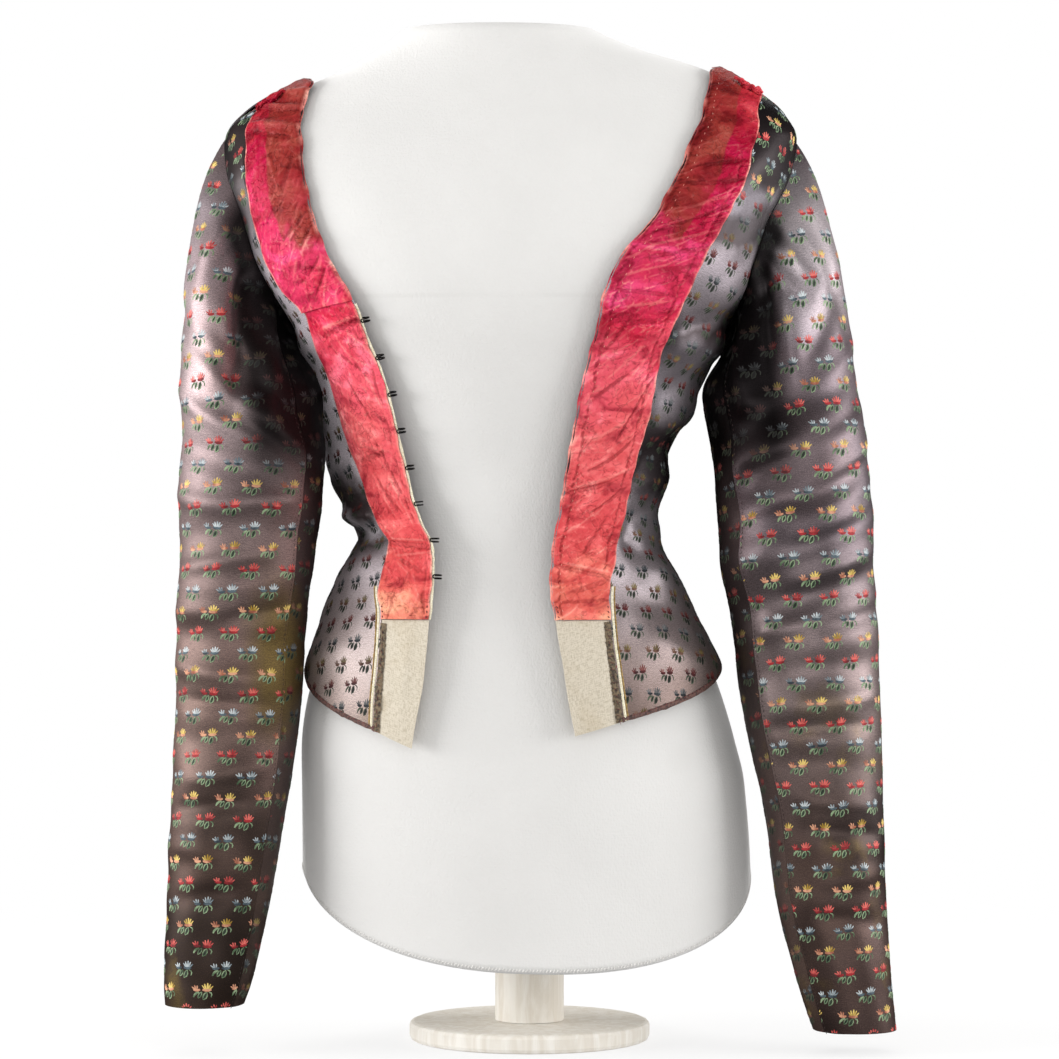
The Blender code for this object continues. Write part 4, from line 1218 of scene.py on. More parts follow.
def foldLift(folds, arc, height):
    total = np.zeros_like(height)
    for fold in folds:
        slope = math.radians(fold.slope)
        sideways = arc - math.radians(fold.roundAngle)
        sideways = ((sideways + math.pi) % (2 * math.pi) - math.pi) * sleevePiece["radius"]
        upward = height / mm - fold.height
        along = sideways * math.cos(slope) + upward * math.sin(slope)
        across = upward * math.cos(slope) - sideways * math.sin(slope)
        total += fold.depth * np.exp(-((2 * along / fold.length) ** 2) - (across / fold.width) ** 2)
    return total * mm


def sleeveStart(name, arc):  # where the sleeve leaves the armhole
    first = bodyPiece["underarm"] * bodyPiece["steps"]
    front, frontOut = (grid[first:, -1][::-1] for grid in sheets[name, "front"])
    back, backOut = (grid[first:, -1] for grid in sheets[name, "back"])
    middle = np.concatenate([front, back]).mean(axis=0)
    share = np.abs(arc) / math.pi
    onFront = (arc >= 0)[:, None]
    place = np.where(onFront, alongLine(front, share), alongLine(back, 1 - share))
    lift = np.where(onFront, alongLine(frontOut, share), alongLine(backOut, 1 - share))
    outward = unit(lift) * (bodyPiece["satin"] + sleevePiece["rise"])
    return place + outward + unit(middle - place) * sleevePiece["inset"]


def sleeveSheet(side, arc):  # rows from armhole to cuff, columns round the sleeve
    table = sleeveSections[side]
    read = {name: byHeight(table, name) for name in table[0]._fields[1:]}
    join = table[0].height * mm
    cuff = table[-1].height * mm
    height = np.linspace(join, cuff, sleevePiece["armRows"] + 1)[:, None]
    x = read["centreX"](height) + side * read["halfWidth"](height) * np.cos(arc)
    y = read["centreY"](height) - read["halfDepth"](height) * np.sin(arc)
    arm = np.stack(np.broadcast_arrays(x, y, height), axis=-1)
    underness = (1 - np.cos(arc)) / 2
    slope, pull, endPull = (
        sleevePiece[line + "Top"] + (sleevePiece[line + "Under"] - sleevePiece[line + "Top"]) * underness
        for line in ("slope", "pull", "armPull")
    )
    slope = np.radians(slope)
    sideways = -sleevePiece["capSpread"] * np.sin(arc)
    leaving = np.stack([side * np.cos(slope), sideways, -np.sin(slope)], axis=-1)
    hanging = unit(arm[1] - arm[0])
    share = np.linspace(0, 1, sleevePiece["capRows"] + 1)[:-1, None, None]
    start = sleeveStart(sideNames[side], arc)
    cap = hermite(start, leaving * pull[:, None], arm[0], hanging * endPull[:, None], share)
    points = np.concatenate([cap, arm])
    level = np.minimum(points[..., 2], join)
    axis = np.stack([read["centreX"](level), read["centreY"](level), points[..., 2]], axis=-1)
    fade = np.clip((points[..., 2] - cuff) / sleevePiece["cuffFade"], 0, 1)
    fade[: sleevePiece["capRows"]] *= np.linspace(0, 1, sleevePiece["capRows"])[:, None]
    turned = np.broadcast_to(arc, points.shape[:2])
    lift = foldLift(sleeveFolds[side], turned, points[..., 2]) * fade
    return points + unit(points - axis) * lift[..., None], axis, turned


def sleeveShade(points, turned):  # painted shade beside the armhole and under the arm
    inside = np.degrees(turned)
    level = points[..., 2]
    beside, below = (
        smoothStep(*sleevePiece[part + "From"], start) * smoothStep(*sleevePiece[part + "Round"], inside)
        * smoothStep(*sleevePiece[part + "Top"], level)
        for part, start in (("beside", lengthsAlong(points)), ("below", level))
    )
    return sleevePiece["shade"] * np.maximum(beside, below)


def makeSleeves():
    capRows = sleevePiece["capRows"]
    frontSeam = sleevePiece["frontSeam"]
    backSeam = sleevePiece["backSeam"]
    rows = capRows + sleevePiece["armRows"] + 1
    gap = np.interp(np.arange(rows), [capRows, capRows + 24], [sleevePiece["capGap"], sleevePiece["armGap"]])
    gap = gap[:, None] / 2
    nearArmhole = smoothStep(0, 14, np.arange(rows))[:, None]
    spans = {
        "Top": np.linspace(backSeam, frontSeam, sleevePiece["topColumns"] + 1),
        "Under": np.linspace(frontSeam, backSeam + 360, sleevePiece["underColumns"] + 1),
    }
    for side, name in sideNames.items():
        for part, degrees in spans.items():
            points, axis, turned = sleeveSheet(side, np.radians((degrees + 180) % 360 - 180))
            out = gridNormals(points, axis)
            a = turned * sleevePiece["radius"]
            b = points[..., 2] / mm
            small = creaseLift(sleeveCreases[side], a, b) * sleevePiece["creaseDepth"]
            small = small + softUneven(a, b, bodyPiece["uneven"], sleevePiece["seed"] + side)
            sewn = edgeFade(rows, len(degrees), *sleevePiece["sewnFade"])
            face = points + out * (small * sewn * nearArmhole)[..., None]
            face = drawnIn(face, firstColumn=gap, lastColumn=gap)
            middle = int(np.abs(degrees - sleevePiece["grainAt"][part]).argmin())
            uv = flattened(points, out, (capRows // 2, rows - 1, middle), -1)
            # painted shade for the satin and its sprigs
            deep = sleeveShade(points, turned)
            satinPiece(
                "sleeve" + name.capitalize() + part, f"sleeve_{name}_{part.lower()}", face, out, uv,
                satin["sleeve" + name.capitalize() if part == "Top" else "under"], sleevePiece["wall"],
                areaOf(face), np.maximum(deep, sleevePiece["dull"][part]), "hung", "front_" + name, deep=deep,
            )
            sheets[name, "sleeve" + part] = (face, gridNormals(face, axis))


makeSleeves()
print("sleeves done, bolt reach", round(bolt["reach"], 3))

# Silk ribbons, laid on the fronts and crumpled

ribbonPiece = {
    "rise": 0.45 * mm,
    "wall": 0.5 * mm,
    "rowsPerStep": 4,
    "columns": 46,
    "crinkle": 1.25 * mm,
    "turnedEnd": 3.5 * mm,
    "turnedRise": 0.7 * mm,
    "turnedEdge": 0.045,
    "edgeDrop": 1.7 * mm,
    "edgeReach": 0.9 * mm,
    "creaseDepth": 0.8,
    "lineWidth": 0.02,
    "lineFade": 8,
    "lapRows": 4,
    "lapRise": 0.8 * mm,
    "lapFrom": 40 * mm,
    "lapTo": 70 * mm,
    "lowest": -0.3 * mm,
    "wander": 0.35 * mm,
    "seed": 50,
}
# Creases across a ribbon, at millimetres from the free edge and height
ribbonCreases = {
    "rightUpper": rowsOf(
        Crease,
        (16, 522, -40, 34, 1.3, -1.4, 0.2), (18, 530, -32, 40, 1.5, -1.2, 0.3), (20, 540, -44, 44, 1.6, 1),
        (14, 548, -52, 46, 1.5, -1, -0.2), (22, 556, -36, 40, 1.6, -1), (12, 566, -58, 40, 1.4, 0.8),
        (24, 575, -40, 30, 1.6, -0.9), (15, 590, -64, 36, 1.6, -0.8), (23, 604, 78, 44, 1.2, 0.8),
        (20, 632, 6, 40, 2.2, 2.4), (22, 625, 12, 34, 1.5, -1.6), (22, 639, -6, 44, 1.8, -1.8),
        (18, 645, 4, 40, 2, 2.6), (26, 651, 8, 34, 1.8, -1.6), (14, 656, -4, 34, 1.8, 2.2),
    ),
    "rightLower": rowsOf(
        Crease,
        (18, 493, -14, 44, 1.5, -1.6), (18, 497, -12, 44, 1.4, 1), (22, 470, 36, 30, 1.6, -0.7),
        (10, 452, 74, 50, 1.4, 0.7), (26, 446, 66, 40, 1.6, -0.7), (28, 406, -12, 24, 1.7, -1.5),
        (22, 412, 10, 30, 1.6, 0.9), (12, 396, 70, 40, 1.4, -0.7), (20, 380, 58, 34, 1.6, -0.9),
        (8, 372, 76, 40, 1.4, 0.8), (14, 345, 6, 40, 1.6, -1.7), (16, 349, 2, 36, 1.4, 1.1),
        (14, 339, -6, 34, 1.5, 1), (18, 332, 24, 26, 1.6, -0.9), (5, 304, 80, 18, 1.2, -1),
        (29, 304, -80, 18, 1.2, -1),
    ),
    "left": rowsOf(
        Crease,
        (26, 604, 10, 40, 1.6, -0.9), (24, 590, 6, 46, 1.5, -1.1, 0.2), (30, 578, 24, 40, 1.7, 0.9),
        (26, 566, 30, 44, 1.6, -0.9), (30, 553, 22, 44, 1.6, 0.9), (36, 543, 14, 38, 1.8, -1.2),
        (20, 530, 16, 40, 1.5, 0.8), (28, 515, -4, 44, 1.2, -1.3), (30, 508, 8, 36, 1.6, 0.9),
        (30, 496, 4, 38, 1.7, -1.3), (14, 486, 60, 24, 1.4, -0.8), (26, 470, 50, 30, 1.5, 0.7),
        (18, 452, 40, 34, 1.5, -0.8), (42, 440, 66, 44, 1.2, -1), (26, 424, 30, 34, 1.5, 0.9),
        (30, 404, 34, 34, 1.5, -1, 0.3), (36, 394, 20, 30, 1.5, 1), (16, 384, 12, 36, 1.5, -1.7),
        (20, 388, 16, 36, 1.4, 1.2), (34, 376, 36, 30, 1.5, -1), (18, 362, 40, 30, 1.5, 0.8),
        (28, 352, 60, 28, 1.4, -0.9), (22, 327, -12, 46, 1.2, -1.6), (24, 330, -11, 44, 1.2, 0.9),
        (30, 318, 16, 32, 1.7, -1), (20, 307, 2, 44, 1.2, -1.2),
    ),
}
# Lines along a ribbon: place across, from height, to height and depth
RibbonLine = namedtuple("RibbonLine", "across low high depth")
ribbonLines = {
    "rightUpper": (RibbonLine(0.72, 575, 640, 0.5),),
    "rightLower": (RibbonLine(0.1, 290, 505, -0.3),),
    "left": rowsOf(RibbonLine, (0.11, 296, 520, -0.6), (0.84, 330, 600, -0.55), (0.05, 520, 660, -0.4)),
}
# The lie of the fine crinkles: degrees from straight across, and how far they vary
ribbonLie = {"rightUpper": (-42, 22), "rightLower": (66, 22), "left": (24, 24)}


def resampled(grid, rows, columns):
    r = np.linspace(0, grid.shape[0] - 1, rows)
    c = np.linspace(0, grid.shape[1] - 1, columns)
    i = np.minimum(r.astype(int), grid.shape[0] - 2)
    j = np.minimum(c.astype(int), grid.shape[1] - 2)
    down = (r - i)[:, None, None]
    side = (c - j)[None, :, None]
    first = grid[i][:, j] * (1 - side) + grid[i][:, j + 1] * side
    second = grid[i + 1][:, j] * (1 - side) + grid[i + 1][:, j + 1] * side
    return first * (1 - down) + second * down


def crinkle(a, b, lie, spread, seed):  # sharp small creases, gathered in patches
    rng = np.random.default_rng(seed)
    total = np.zeros_like(a)
    for _ in range(16):
        turn = math.radians(lie + rng.normal(0, spread))
        wave = rng.uniform(3.2, 15)
        phase = rng.uniform(0, 2 * math.pi)
        along = a * math.cos(turn) + b * math.sin(turn)
        across = b * math.cos(turn) - a * math.sin(turn)
        across = across + 2.2 * np.sin(along / rng.uniform(4, 14) + phase)
        ridge = (1 - np.abs(np.sin(across * math.pi / wave + phase))) ** 4
        patch = np.sin(a / rng.uniform(5, 12) + phase) * np.sin(b / rng.uniform(9, 24) + 2 * phase)
        total += ridge * smoothStep(0.0, 0.8, patch) * wave / 8
    return total / 4


def paintedFoldLight(lift):  # painted light on ridges and painted shade in troughs
    sharp = sum(-np.gradient(np.gradient(lift, axis=k), axis=k) for k in (0, 1))
    return 0.5 + 0.1 * (lift - lift.mean()) / lift.std() + 0.1 * sharp / sharp.std()


def borderPart(name, span, rows, columns):  # the strip of a front beside its free edge
    part = (span, slice(0, border + 1))
    inner, out = (resampled(grid[part], rows, columns) for grid in sheets[name, "front"])
    return inner, unit(out)


def ribbonLift(piece, a, b, across, fromEnd, seed):  # creases and crinkles, and the lap of the upper piece
    lift = creaseLift(ribbonCreases[piece], a, b) * ribbonPiece["creaseDepth"]
    fade = ribbonPiece["lineFade"]
    for line in ribbonLines[piece]:
        held = smoothStep(line.low - fade, line.low, b) * smoothStep(line.high + fade, line.high, b)
        wavy = line.across + 0.012 * np.sin(b / 7) + 0.008 * np.sin(b / 3.1)
        lift += line.depth * mm * np.exp(-(((across - wavy) / ribbonPiece["lineWidth"]) ** 2)) * held
    lift += crinkle(a, b, *ribbonLie[piece], ribbonPiece["seed"] + seed) * ribbonPiece["crinkle"]
    lift *= 0.35 + 0.65 * smoothStep(0, 0.06, across) * smoothStep(1, 0.96, across)
    if piece == "rightUpper":
        lap = ribbonPiece["lapRise"]
        lift += ribbonPiece["turnedRise"] * smoothStep(ribbonPiece["turnedEnd"] * 2, 0, fromEnd) + lap
        lift -= lap * smoothStep(ribbonPiece["lapFrom"], ribbonPiece["lapTo"], fromEnd)
    return np.maximum(lift, ribbonPiece["lowest"])


def makeRibbons():
    top = len(sheets["left", "front"][0])
    spans = {
        "rightLower": ("right", ribbonRow, joinRow + ribbonPiece["lapRows"], "ribbon_right_lower"),
        "rightUpper": ("right", joinRow, top, "ribbon_right_upper"),
        "left": ("left", ribbonRow, top, "ribbon_left"),
    }
    for seed, (piece, (name, low, stop, node)) in enumerate(spans.items()):
        rows = (stop - low - 1) * ribbonPiece["rowsPerStep"] + 1
        base, up = borderPart(name, slice(low, stop), rows, ribbonPiece["columns"] + 1)
        a = lengthsAlong(base, 1) / mm
        b = base[..., 2] / mm
        across = np.broadcast_to(np.linspace(0, 1, ribbonPiece["columns"] + 1), a.shape)
        lift = ribbonLift(piece, a, b, across, np.linalg.norm(base - base[0], axis=2), seed)
        face = base + up * (bodyPiece["satin"] + ribbonPiece["rise"] + ribbonPiece["wall"] + lift)[..., None]
        wander = ribbonPiece["wander"] * (np.sin(b / 5.3 + seed) + np.sin(b / 2.7 + 2 * seed))
        sideways = unit(np.gradient(base, axis=1))
        face = face + sideways * (wander * ((1 - across) ** 12 + across**12))[..., None]
        if piece != "rightLower":
            turned = smoothStep(ribbonPiece["turnedEdge"], 0.0, across)[..., None]
            face = face - up * (ribbonPiece["edgeDrop"] * turned)
            face = face - sideways * (ribbonPiece["edgeReach"] * turned)
        v = lengthsAlong(base)
        uv = np.stack([across, v], axis=-1)
        title = "ribbon" + piece[0].upper() + piece[1:]
        made = clothPiece(title, face, up, ribbonSilk, ribbonPiece["wall"], uv, fold=paintedFoldLight(lift))
        size = (float(a[:, -1].mean() * mm), float(v[-1].mean()))
        asCloth(made, node, "silk_ribbon", flat=size, held="laid", rests_on=["front_" + name])
        sheets[name, piece] = (face, up)
        print(title, "cut", np.round(size, 3))


def tube(line, radius, sides, lumps=None):  # points and faces of a closed tube along a line
    along = unit(np.gradient(line, axis=0))
    hint = np.array([0.3, -0.9, 0.31])
    first = unit(np.cross(along, hint))
    second = np.cross(along, first)
    turn = np.linspace(0, 2 * math.pi, sides, endpoint=False)
    reach = np.broadcast_to(np.asarray(radius, float).reshape(-1, 1), (len(line), sides)).copy()
    if lumps is not None:
        reach *= lumps(np.linspace(0, 1, len(line))[:, None], turn[None, :])
    ring = first[:, None] * np.cos(turn)[None, :, None] + second[:, None] * np.sin(turn)[None, :, None]
    points = line[:, None] + ring * reach[..., None]
    return points.reshape(-1, 3), cappedFaces(len(line), sides)


ribbonEnd = {
    "radius": 1.7 * mm,
    "inner": 0.42,
    "rowsDown": 14,
    "rise": 4.2 * mm,
    "strands": 3,
    "apart": 1.9 * mm,
    "rows": 46,
    "sides": 22,
    "leastWidth": 10.5 * mm,
    "lay": (0.85, 0.1),
}


def makeRibbonEnds():
    sides = ribbonEnd["sides"]
    turns = np.linspace(0, 2 * math.pi, sides, endpoint=False)[None, :]
    t = np.linspace(0, 1, ribbonEnd["rows"])
    swell = ribbonEnd["radius"] * (0.5 + 0.5 * np.sin(math.pi * t) ** 0.5)
    for side, name in sideNames.items():
        inner, out = sheets[name, "front"]
        row = inner.shape[0] - ribbonEnd["rowsDown"]
        columns = slice(0, border + 1)
        shoulder = (inner + out * ribbonEnd["rise"])[row, columns]
        downward = unit((inner[row - 1] - inner[row])[columns].mean(axis=0))
        points, faces, tint, length = [], [], [], 0.0
        for strand in range(ribbonEnd["strands"]):
            share = np.linspace(ribbonEnd["inner"] + 0.09 * strand, 1.0 - 0.03 * strand, ribbonEnd["rows"])
            line = alongLine(shoulder, share) + downward * ribbonEnd["apart"] * (strand - 1)
            line[:, 2] += (0.9 * np.sin(9 * t + 2 * strand) + 0.5 * np.sin(23 * t + side + strand)) * mm
            line[:, 1] += 0.7 * np.sin(13 * t + 2 + strand) * mm

            def lumps(along, turn):
                pleat = np.sin(4 * turn + 7 * along + 1.2 * np.sin(19 * along + strand))
                return 0.78 + 0.2 * pleat + 0.16 * np.sin(31 * along + 2 * turn + strand)

            tubePoints, tubeFaces = tube(line, swell, sides, lumps)
            faces += [[i + strand * len(tubePoints) for i in face] for face in tubeFaces]
            points.append(tubePoints)
            tint.append(lumps(t[:, None], turns).ravel())
            length = max(length, float(lengthsAlong(line)[-1]))
        mesh = closedMesh("ribbonEnd", np.concatenate(points), faces)
        for entry in mesh.uv_layers.new(name="lay").uv:
            entry.vector = ribbonEnd["lay"]
        # painted light and shade on the pleats of the gathered end
        tinted(mesh, "fold", np.concatenate(tint) - 0.3)
        made = addObject("ribbonEnd" + name.capitalize(), mesh, ribbonSilk)
        area = sum(face.area for face in mesh.polygons) / 2
        cut = (max(ribbonEnd["leastWidth"], area / length), length)
        node = "ribbon_end_" + name
        asCloth(made, node, "silk_ribbon", flat=cut, held="gathered", rests_on=["front_" + name], area=area)


makeRibbons()
makeRibbonEnds()
print("ribbons done")

# Linen strips, selvedges and the turned hem

linenPiece = {"thickness": 1.2 * mm, "wall": 0.8 * mm, "rows": 90, "columns": 40, "uneven": 0.35, "seed": 61}
linenCreases = {
    rightSide: (Crease(-84, 262, 84, 60, 4.0, 0.5), Crease(-90, 240, 20, 40, 5.0, -0.5)),
    leftSide: (Crease(50, 262, 88, 60, 4.0, 0.5), Crease(40, 236, -16, 40, 5.0, -0.5)),
}


def makeLinens():
    grid = (linenPiece["rows"] + 1, linenPiece["columns"] + 1)
    for side, name in sideNames.items():
        base, up = borderPart(name, slice(0, ribbonRow + 1), *grid)
        a = base[..., 0] / mm
        b = base[..., 2] / mm
        uneven = softUneven(a, b, linenPiece["uneven"], linenPiece["seed"] + side)
        lift = creaseLift(linenCreases[side], a, b) + uneven
        face = base + up * (linenPiece["thickness"] + lift)[..., None]
        face = drawnIn(face, lastRow=bodyPiece["seamGap"], lastColumn=bodyPiece["seamGap"])
        u = lengthsAlong(base, 1)
        v = lengthsAlong(base)
        title = "linen" + name.capitalize()
        made = clothPiece(title, face, up, linen, linenPiece["wall"], np.stack([u, v], axis=-1))
        size = (float(u[:, -1].max()), float(v[-1].max()))
        area = areaOf(face)
        asCloth(made, "linen_" + name, "linen", flat=size, held="laid", rests_on=["form_torso"], area=area)
        print(title, "cut", np.round(size, 3))


makeLinens()
print("linens done")

# Strips woven along the border of the linen, in millimetres. A strip with rows stops after that many.
TrimStrip = namedtuple("TrimStrip", "suffix finish at width rise wall ragged seed columns rows")
selvedgeStrips = rowsOf(
    TrimStrip,
    ("Stripe", ivoryEdge, 2.4, 1.9, 0.455, 0.25, 0, 0, 5, None),
    ("Gold", threads["goldThread"], 4.2, 1.3, 0.35, 0.2, 0.12, 5, 5, None),
    ("Selvedge", threads["selvedgeDark"], -2.0, 5.2, 0.35, 0.25, 0.25, 9, 7, 60),
)
trimPiece = {
    "rows": 80,
    "top": 2.9,
    "ragged": 0.15 * mm,
    "facingAt": -0.5 * mm,
    "facingWidth": 2.4 * mm,
    "facingRise": 0.35 * mm,
    "facingWall": 0.25 * mm,
    "hemWidth": 3.4 * mm,
    "hemRise": 0.55 * mm,
    "hemDrop": 0.4 * mm,
    "hemWall": 0.3 * mm,
    "hemSeed": 3,
    "facingSeed": 4,
}


def stripAlong(line, sideways, up, centre, width, rise, ragged=0.0, seed=0, columns=5):
    share = np.linspace(-0.5, 0.5, columns)
    count = len(line)
    rng = np.random.default_rng(seed)
    rough = rng.normal(0, ragged, (count, 1)) * np.sign(share) * (np.abs(share) > 0.4)
    offset = centre + share[None, :] * width + rough
    crown = rise * (0.25 + 0.75 * np.cos(share * math.pi))[None, :]
    return line[:, None] + sideways[:, None] * offset[..., None] + up[:, None] * crown[..., None]


def sewStrip(name, strip, up, finish, wall, carrier):
    outward = np.broadcast_to(up[:, None], strip.shape)
    uv = np.stack([lengthsAlong(strip, 1), lengthsAlong(strip)], axis=-1)
    asTrim(clothPiece(name, strip, outward, finish, wall, uv), "brocaded_satin", carrier)


def borderLine(name):  # the line between linen and satin, with its sideways and outward directions
    inner, out = sheets[name, "front"]
    rows = slice(0, int(trimPiece["top"] * bodyPiece["steps"]) + 1)
    part = (inner + out * bodyPiece["satin"])[rows]
    sideways = unit(part[:, border + 1] - part[:, border])
    share = np.linspace(0, 1, trimPiece["rows"] + 1)
    line, sideways, up = (alongLine(path, share) for path in (part[:, border], sideways, out[rows, border]))
    return line, unit(sideways), unit(up)


def makeSelvedges():
    for name in sideNames.values():
        line, sideways, up = borderLine(name)
        front = "front" + name.capitalize()
        for kind in selvedgeStrips:
            at, width, rise, wall, ragged = (getattr(kind, key) * mm for key in TrimStrip._fields[2:7])
            strip = stripAlong(line, sideways, up, at, width, rise, ragged, kind.seed, kind.columns)
            sewStrip(front + kind.suffix, strip[: kind.rows], up[: kind.rows], kind.finish, wall, front)


def makeFacing():  # the pale edge that shows past the right ribbon
    inner, out = sheets["right", "front"]
    rows = slice(ribbonRow, joinRow)
    line = (inner + out * bodyPiece["satin"])[rows, 0]
    sideways = unit(inner[rows, 1] - inner[rows, 0])
    up = out[rows, 0]
    at, width, rise, wall = (trimPiece["facing" + key] for key in ("At", "Width", "Rise", "Wall"))
    strip = stripAlong(line, sideways, up, at, width, rise, trimPiece["ragged"], trimPiece["facingSeed"])
    sewStrip("frontRightFacing", strip, up, ivoryEdge, wall, "frontRight")


def makeHems():
    width, rise, wall, seed = (trimPiece["hem" + key] for key in ("Width", "Rise", "Wall", "Seed"))
    at = width / 2 - trimPiece["hemDrop"]
    for (name, panel), (inner, out) in sheets.items():
        if panel not in ("front", "back"):
            continue
        start = border if panel == "front" else 0
        outer = (inner + out * bodyPiece["satin"])[:2, start:]
        up = out[0, start:]
        upward = unit(outer[1] - outer[0])
        strip = stripAlong(outer[0], upward, up, at, width, rise, trimPiece["ragged"], seed)
        carrier = panel + name.capitalize()
        sewStrip(carrier + "Hem", strip, up, threads["hemCloth"], wall, carrier)


makeSelvedges()
makeFacing()
makeHems()
print("selvedges and hem done")

# Wire hooks: a wire bent double, with an eye at each end
hookPiece = {
    "count": 8,
    "top": 497 * mm,
    "bottom": 324 * mm,
    "wire": 0.5 * mm,
    "apart": 1.1 * mm,
    "eye": 1.1 * mm,
    "sides": 8,
    "bend": 0.9 * mm,
    "profile": ((-5.0, -1.0), (4.2, -1.0), (5.8, -0.4), (6.5, 1.0), (5.8, 2.4), (4.2, 3.0), (2.2, 2.9)),
}


def makeHooks():
    inner, out = sheets["right", "front"]
    height = inner[:, 0, 2]
    profile = np.array(hookPiece["profile"]) * mm
    smooth = np.stack([stepped(profile[:, k], 4) for k in (0, 1)], axis=-1)
    turn = np.radians(np.linspace(60, 360, 12))
    for i, level in enumerate(np.linspace(hookPiece["top"], hookPiece["bottom"], hookPiece["count"])):
        edge, beside, up = (
            np.array([np.interp(level, height, grid[:, k]) for k in range(3)])
            for grid in (inner[:, 0], inner[:, 1], out[:, 0])
        )
        past = unit(edge - beside)
        along = np.cross(past, up)
        shank = edge + smooth[:, :1] * past + smooth[:, 1:] * up
        eye = shank[0] + along * (hookPiece["apart"] + hookPiece["eye"])
        ring = eye - hookPiece["eye"] * (np.cos(turn)[:, None] * along + np.sin(turn)[:, None] * past)
        half = np.concatenate([ring[:-1], shank + along * hookPiece["apart"]])
        other = half - 2 * np.sum((half - edge) * along, axis=1)[:, None] * along
        bend = [shank[-1] - past * hookPiece["bend"] + along * hookPiece["apart"] * k for k in (0.6, 0, -0.6)]
        wire = np.concatenate([half, bend, other[::-1]])
        mesh = closedMesh("hook", *tube(wire, hookPiece["wire"], hookPiece["sides"]))
        fromFrame(addObject(f"hook{i + 1}", mesh, blackWire), f"hook_{i + 1}")


makeHooks()
print("hooks done")

# Brocaded sprigs: a bud and a crowned flower over drooping leaves, in staggered rows

Stroke = namedtuple("Stroke", "start middle end width steps")
sprigPiece = {
    "columnPitch": 27.5 * mm,
    "rowPitch": 14.5 * mm,
    "relief": 0.22 * mm,
    "weight": 1.35,
    "jitter": 0.6 * mm,
    "turn": 0.1,
    "seed": 7,
    "colourRows": 3,
    "leafEdge": rowsOf(
        Stroke,
        ((-2.2, -1), (-4.6, -2.2), (-6, -4.6), 0.6, 3), ((-0.4, -0.9), (-2.4, -2.4), (-2.8, -5.2), 0.34, 3),
        ((-0.4, -0.9), (-0.8, -3.6), (-2.8, -5.2), 0.34, 3), ((3.2, -1), (1, -2.8), (0.6, -6.2), 0.36, 3),
        ((3.2, -1), (3.2, -4.4), (0.6, -6.2), 0.36, 3), ((4.4, -0.8), (6.4, -2), (6, -4.4), 0.36, 3),
    ),
    "leafHeart": (
        Stroke((-0.7, -1.5), (-1.6, -3.0), (-2.6, -4.8), 0.75, 2),
        Stroke((2.9, -1.7), (2.1, -3.6), (0.9, -5.7), 1.0, 2),
    ),
    "bud": (Stroke((-6.2, 0.5), (-3.8, 0.2), (-1.4, 0.7), 0.72, 3),),
    "budTips": rowsOf(
        Stroke,
        ((-4.8, 0.8), (-6.2, 1.5), (-7.4, 2.4), 0.36, 2), ((-4.3, 0.9), (-5, 2.2), (-5.5, 3.6), 0.42, 2),
        ((-3.6, 0.9), (-3.5, 2.2), (-3.6, 3.4), 0.38, 2),
    ),
    "crown": (Stroke((0.2, 0.7), (3.2, 0.4), (6.2, 0.8), 0.85, 3),),
    "crownTips": rowsOf(
        Stroke,
        ((2.2, 1), (0.9, 2.2), (-0.1, 3.5), 0.36, 2), ((2.7, 1.2), (1.9, 2.9), (1.5, 4.7), 0.44, 2),
        ((3.3, 1.2), (3.6, 3.2), (3.6, 5.3), 0.5, 2), ((4, 1.2), (4.9, 2.9), (5.6, 4.6), 0.44, 2),
        ((4.6, 1), (6.2, 2.1), (7.3, 3.2), 0.36, 2),
    ),
}
sprigKinds = (  # piece, strokes, floss, the row of each three that it is in
    ("sprigLeafEdges", ("leafEdge",), "leaf", None),
    ("sprigLeafHearts", ("leafHeart",), "leafDark", None),
    ("sprigRedFlowers", ("bud", "crown"), "redDark", 2),
    ("sprigRedTips", ("budTips", "crownTips"), "red", 2),
    ("sprigBlueFlowers", ("bud", "crown"), "blueDark", 1),
    ("sprigBlueTips", ("budTips", "crownTips"), "blue", 1),
    ("sprigPeachFlowers", ("bud", "budTips", "crown"), "peach", 0),
    ("sprigYellowTips", ("crownTips",), "yellow", 0),
)


def strokeMesh(name, groups):  # each stroke is a low ridge that narrows to its ends
    side = np.array([-1, 0, 1])
    ridge = np.array([0.1, 1.0, 0.1])
    points, faces, count = [], [], 0
    for stroke in [stroke for group in groups for stroke in sprigPiece[group]]:
        start, middle, end = (np.array(place) for place in stroke[:3])
        share = np.linspace(0, 1, stroke.steps + 1)[:, None]
        bow = middle * 2 - (start + end) / 2
        line = start * (1 - share) ** 2 + bow * 2 * share * (1 - share) + end * share**2
        along = np.gradient(line, axis=0)
        away = unit(np.stack([-along[:, 1], along[:, 0]], axis=-1))
        fullness = 0.25 + 0.75 * np.sin(math.pi * (0.12 + 0.76 * share))
        reach = stroke.width * sprigPiece["weight"] * fullness * side
        flat = (line[:, None] + away[:, None] * reach[..., None]) * mm
        height = sprigPiece["relief"] * ridge * (0.35 + 0.65 * fullness)
        points.append(np.dstack([flat, height]).reshape(-1, 3))
        faces.append(gridFaces(len(line), len(side))[:, [0, 3, 2, 1]] + count)
        count += flat[..., 0].size
    return meshOf(name, np.concatenate(points), np.concatenate(faces))


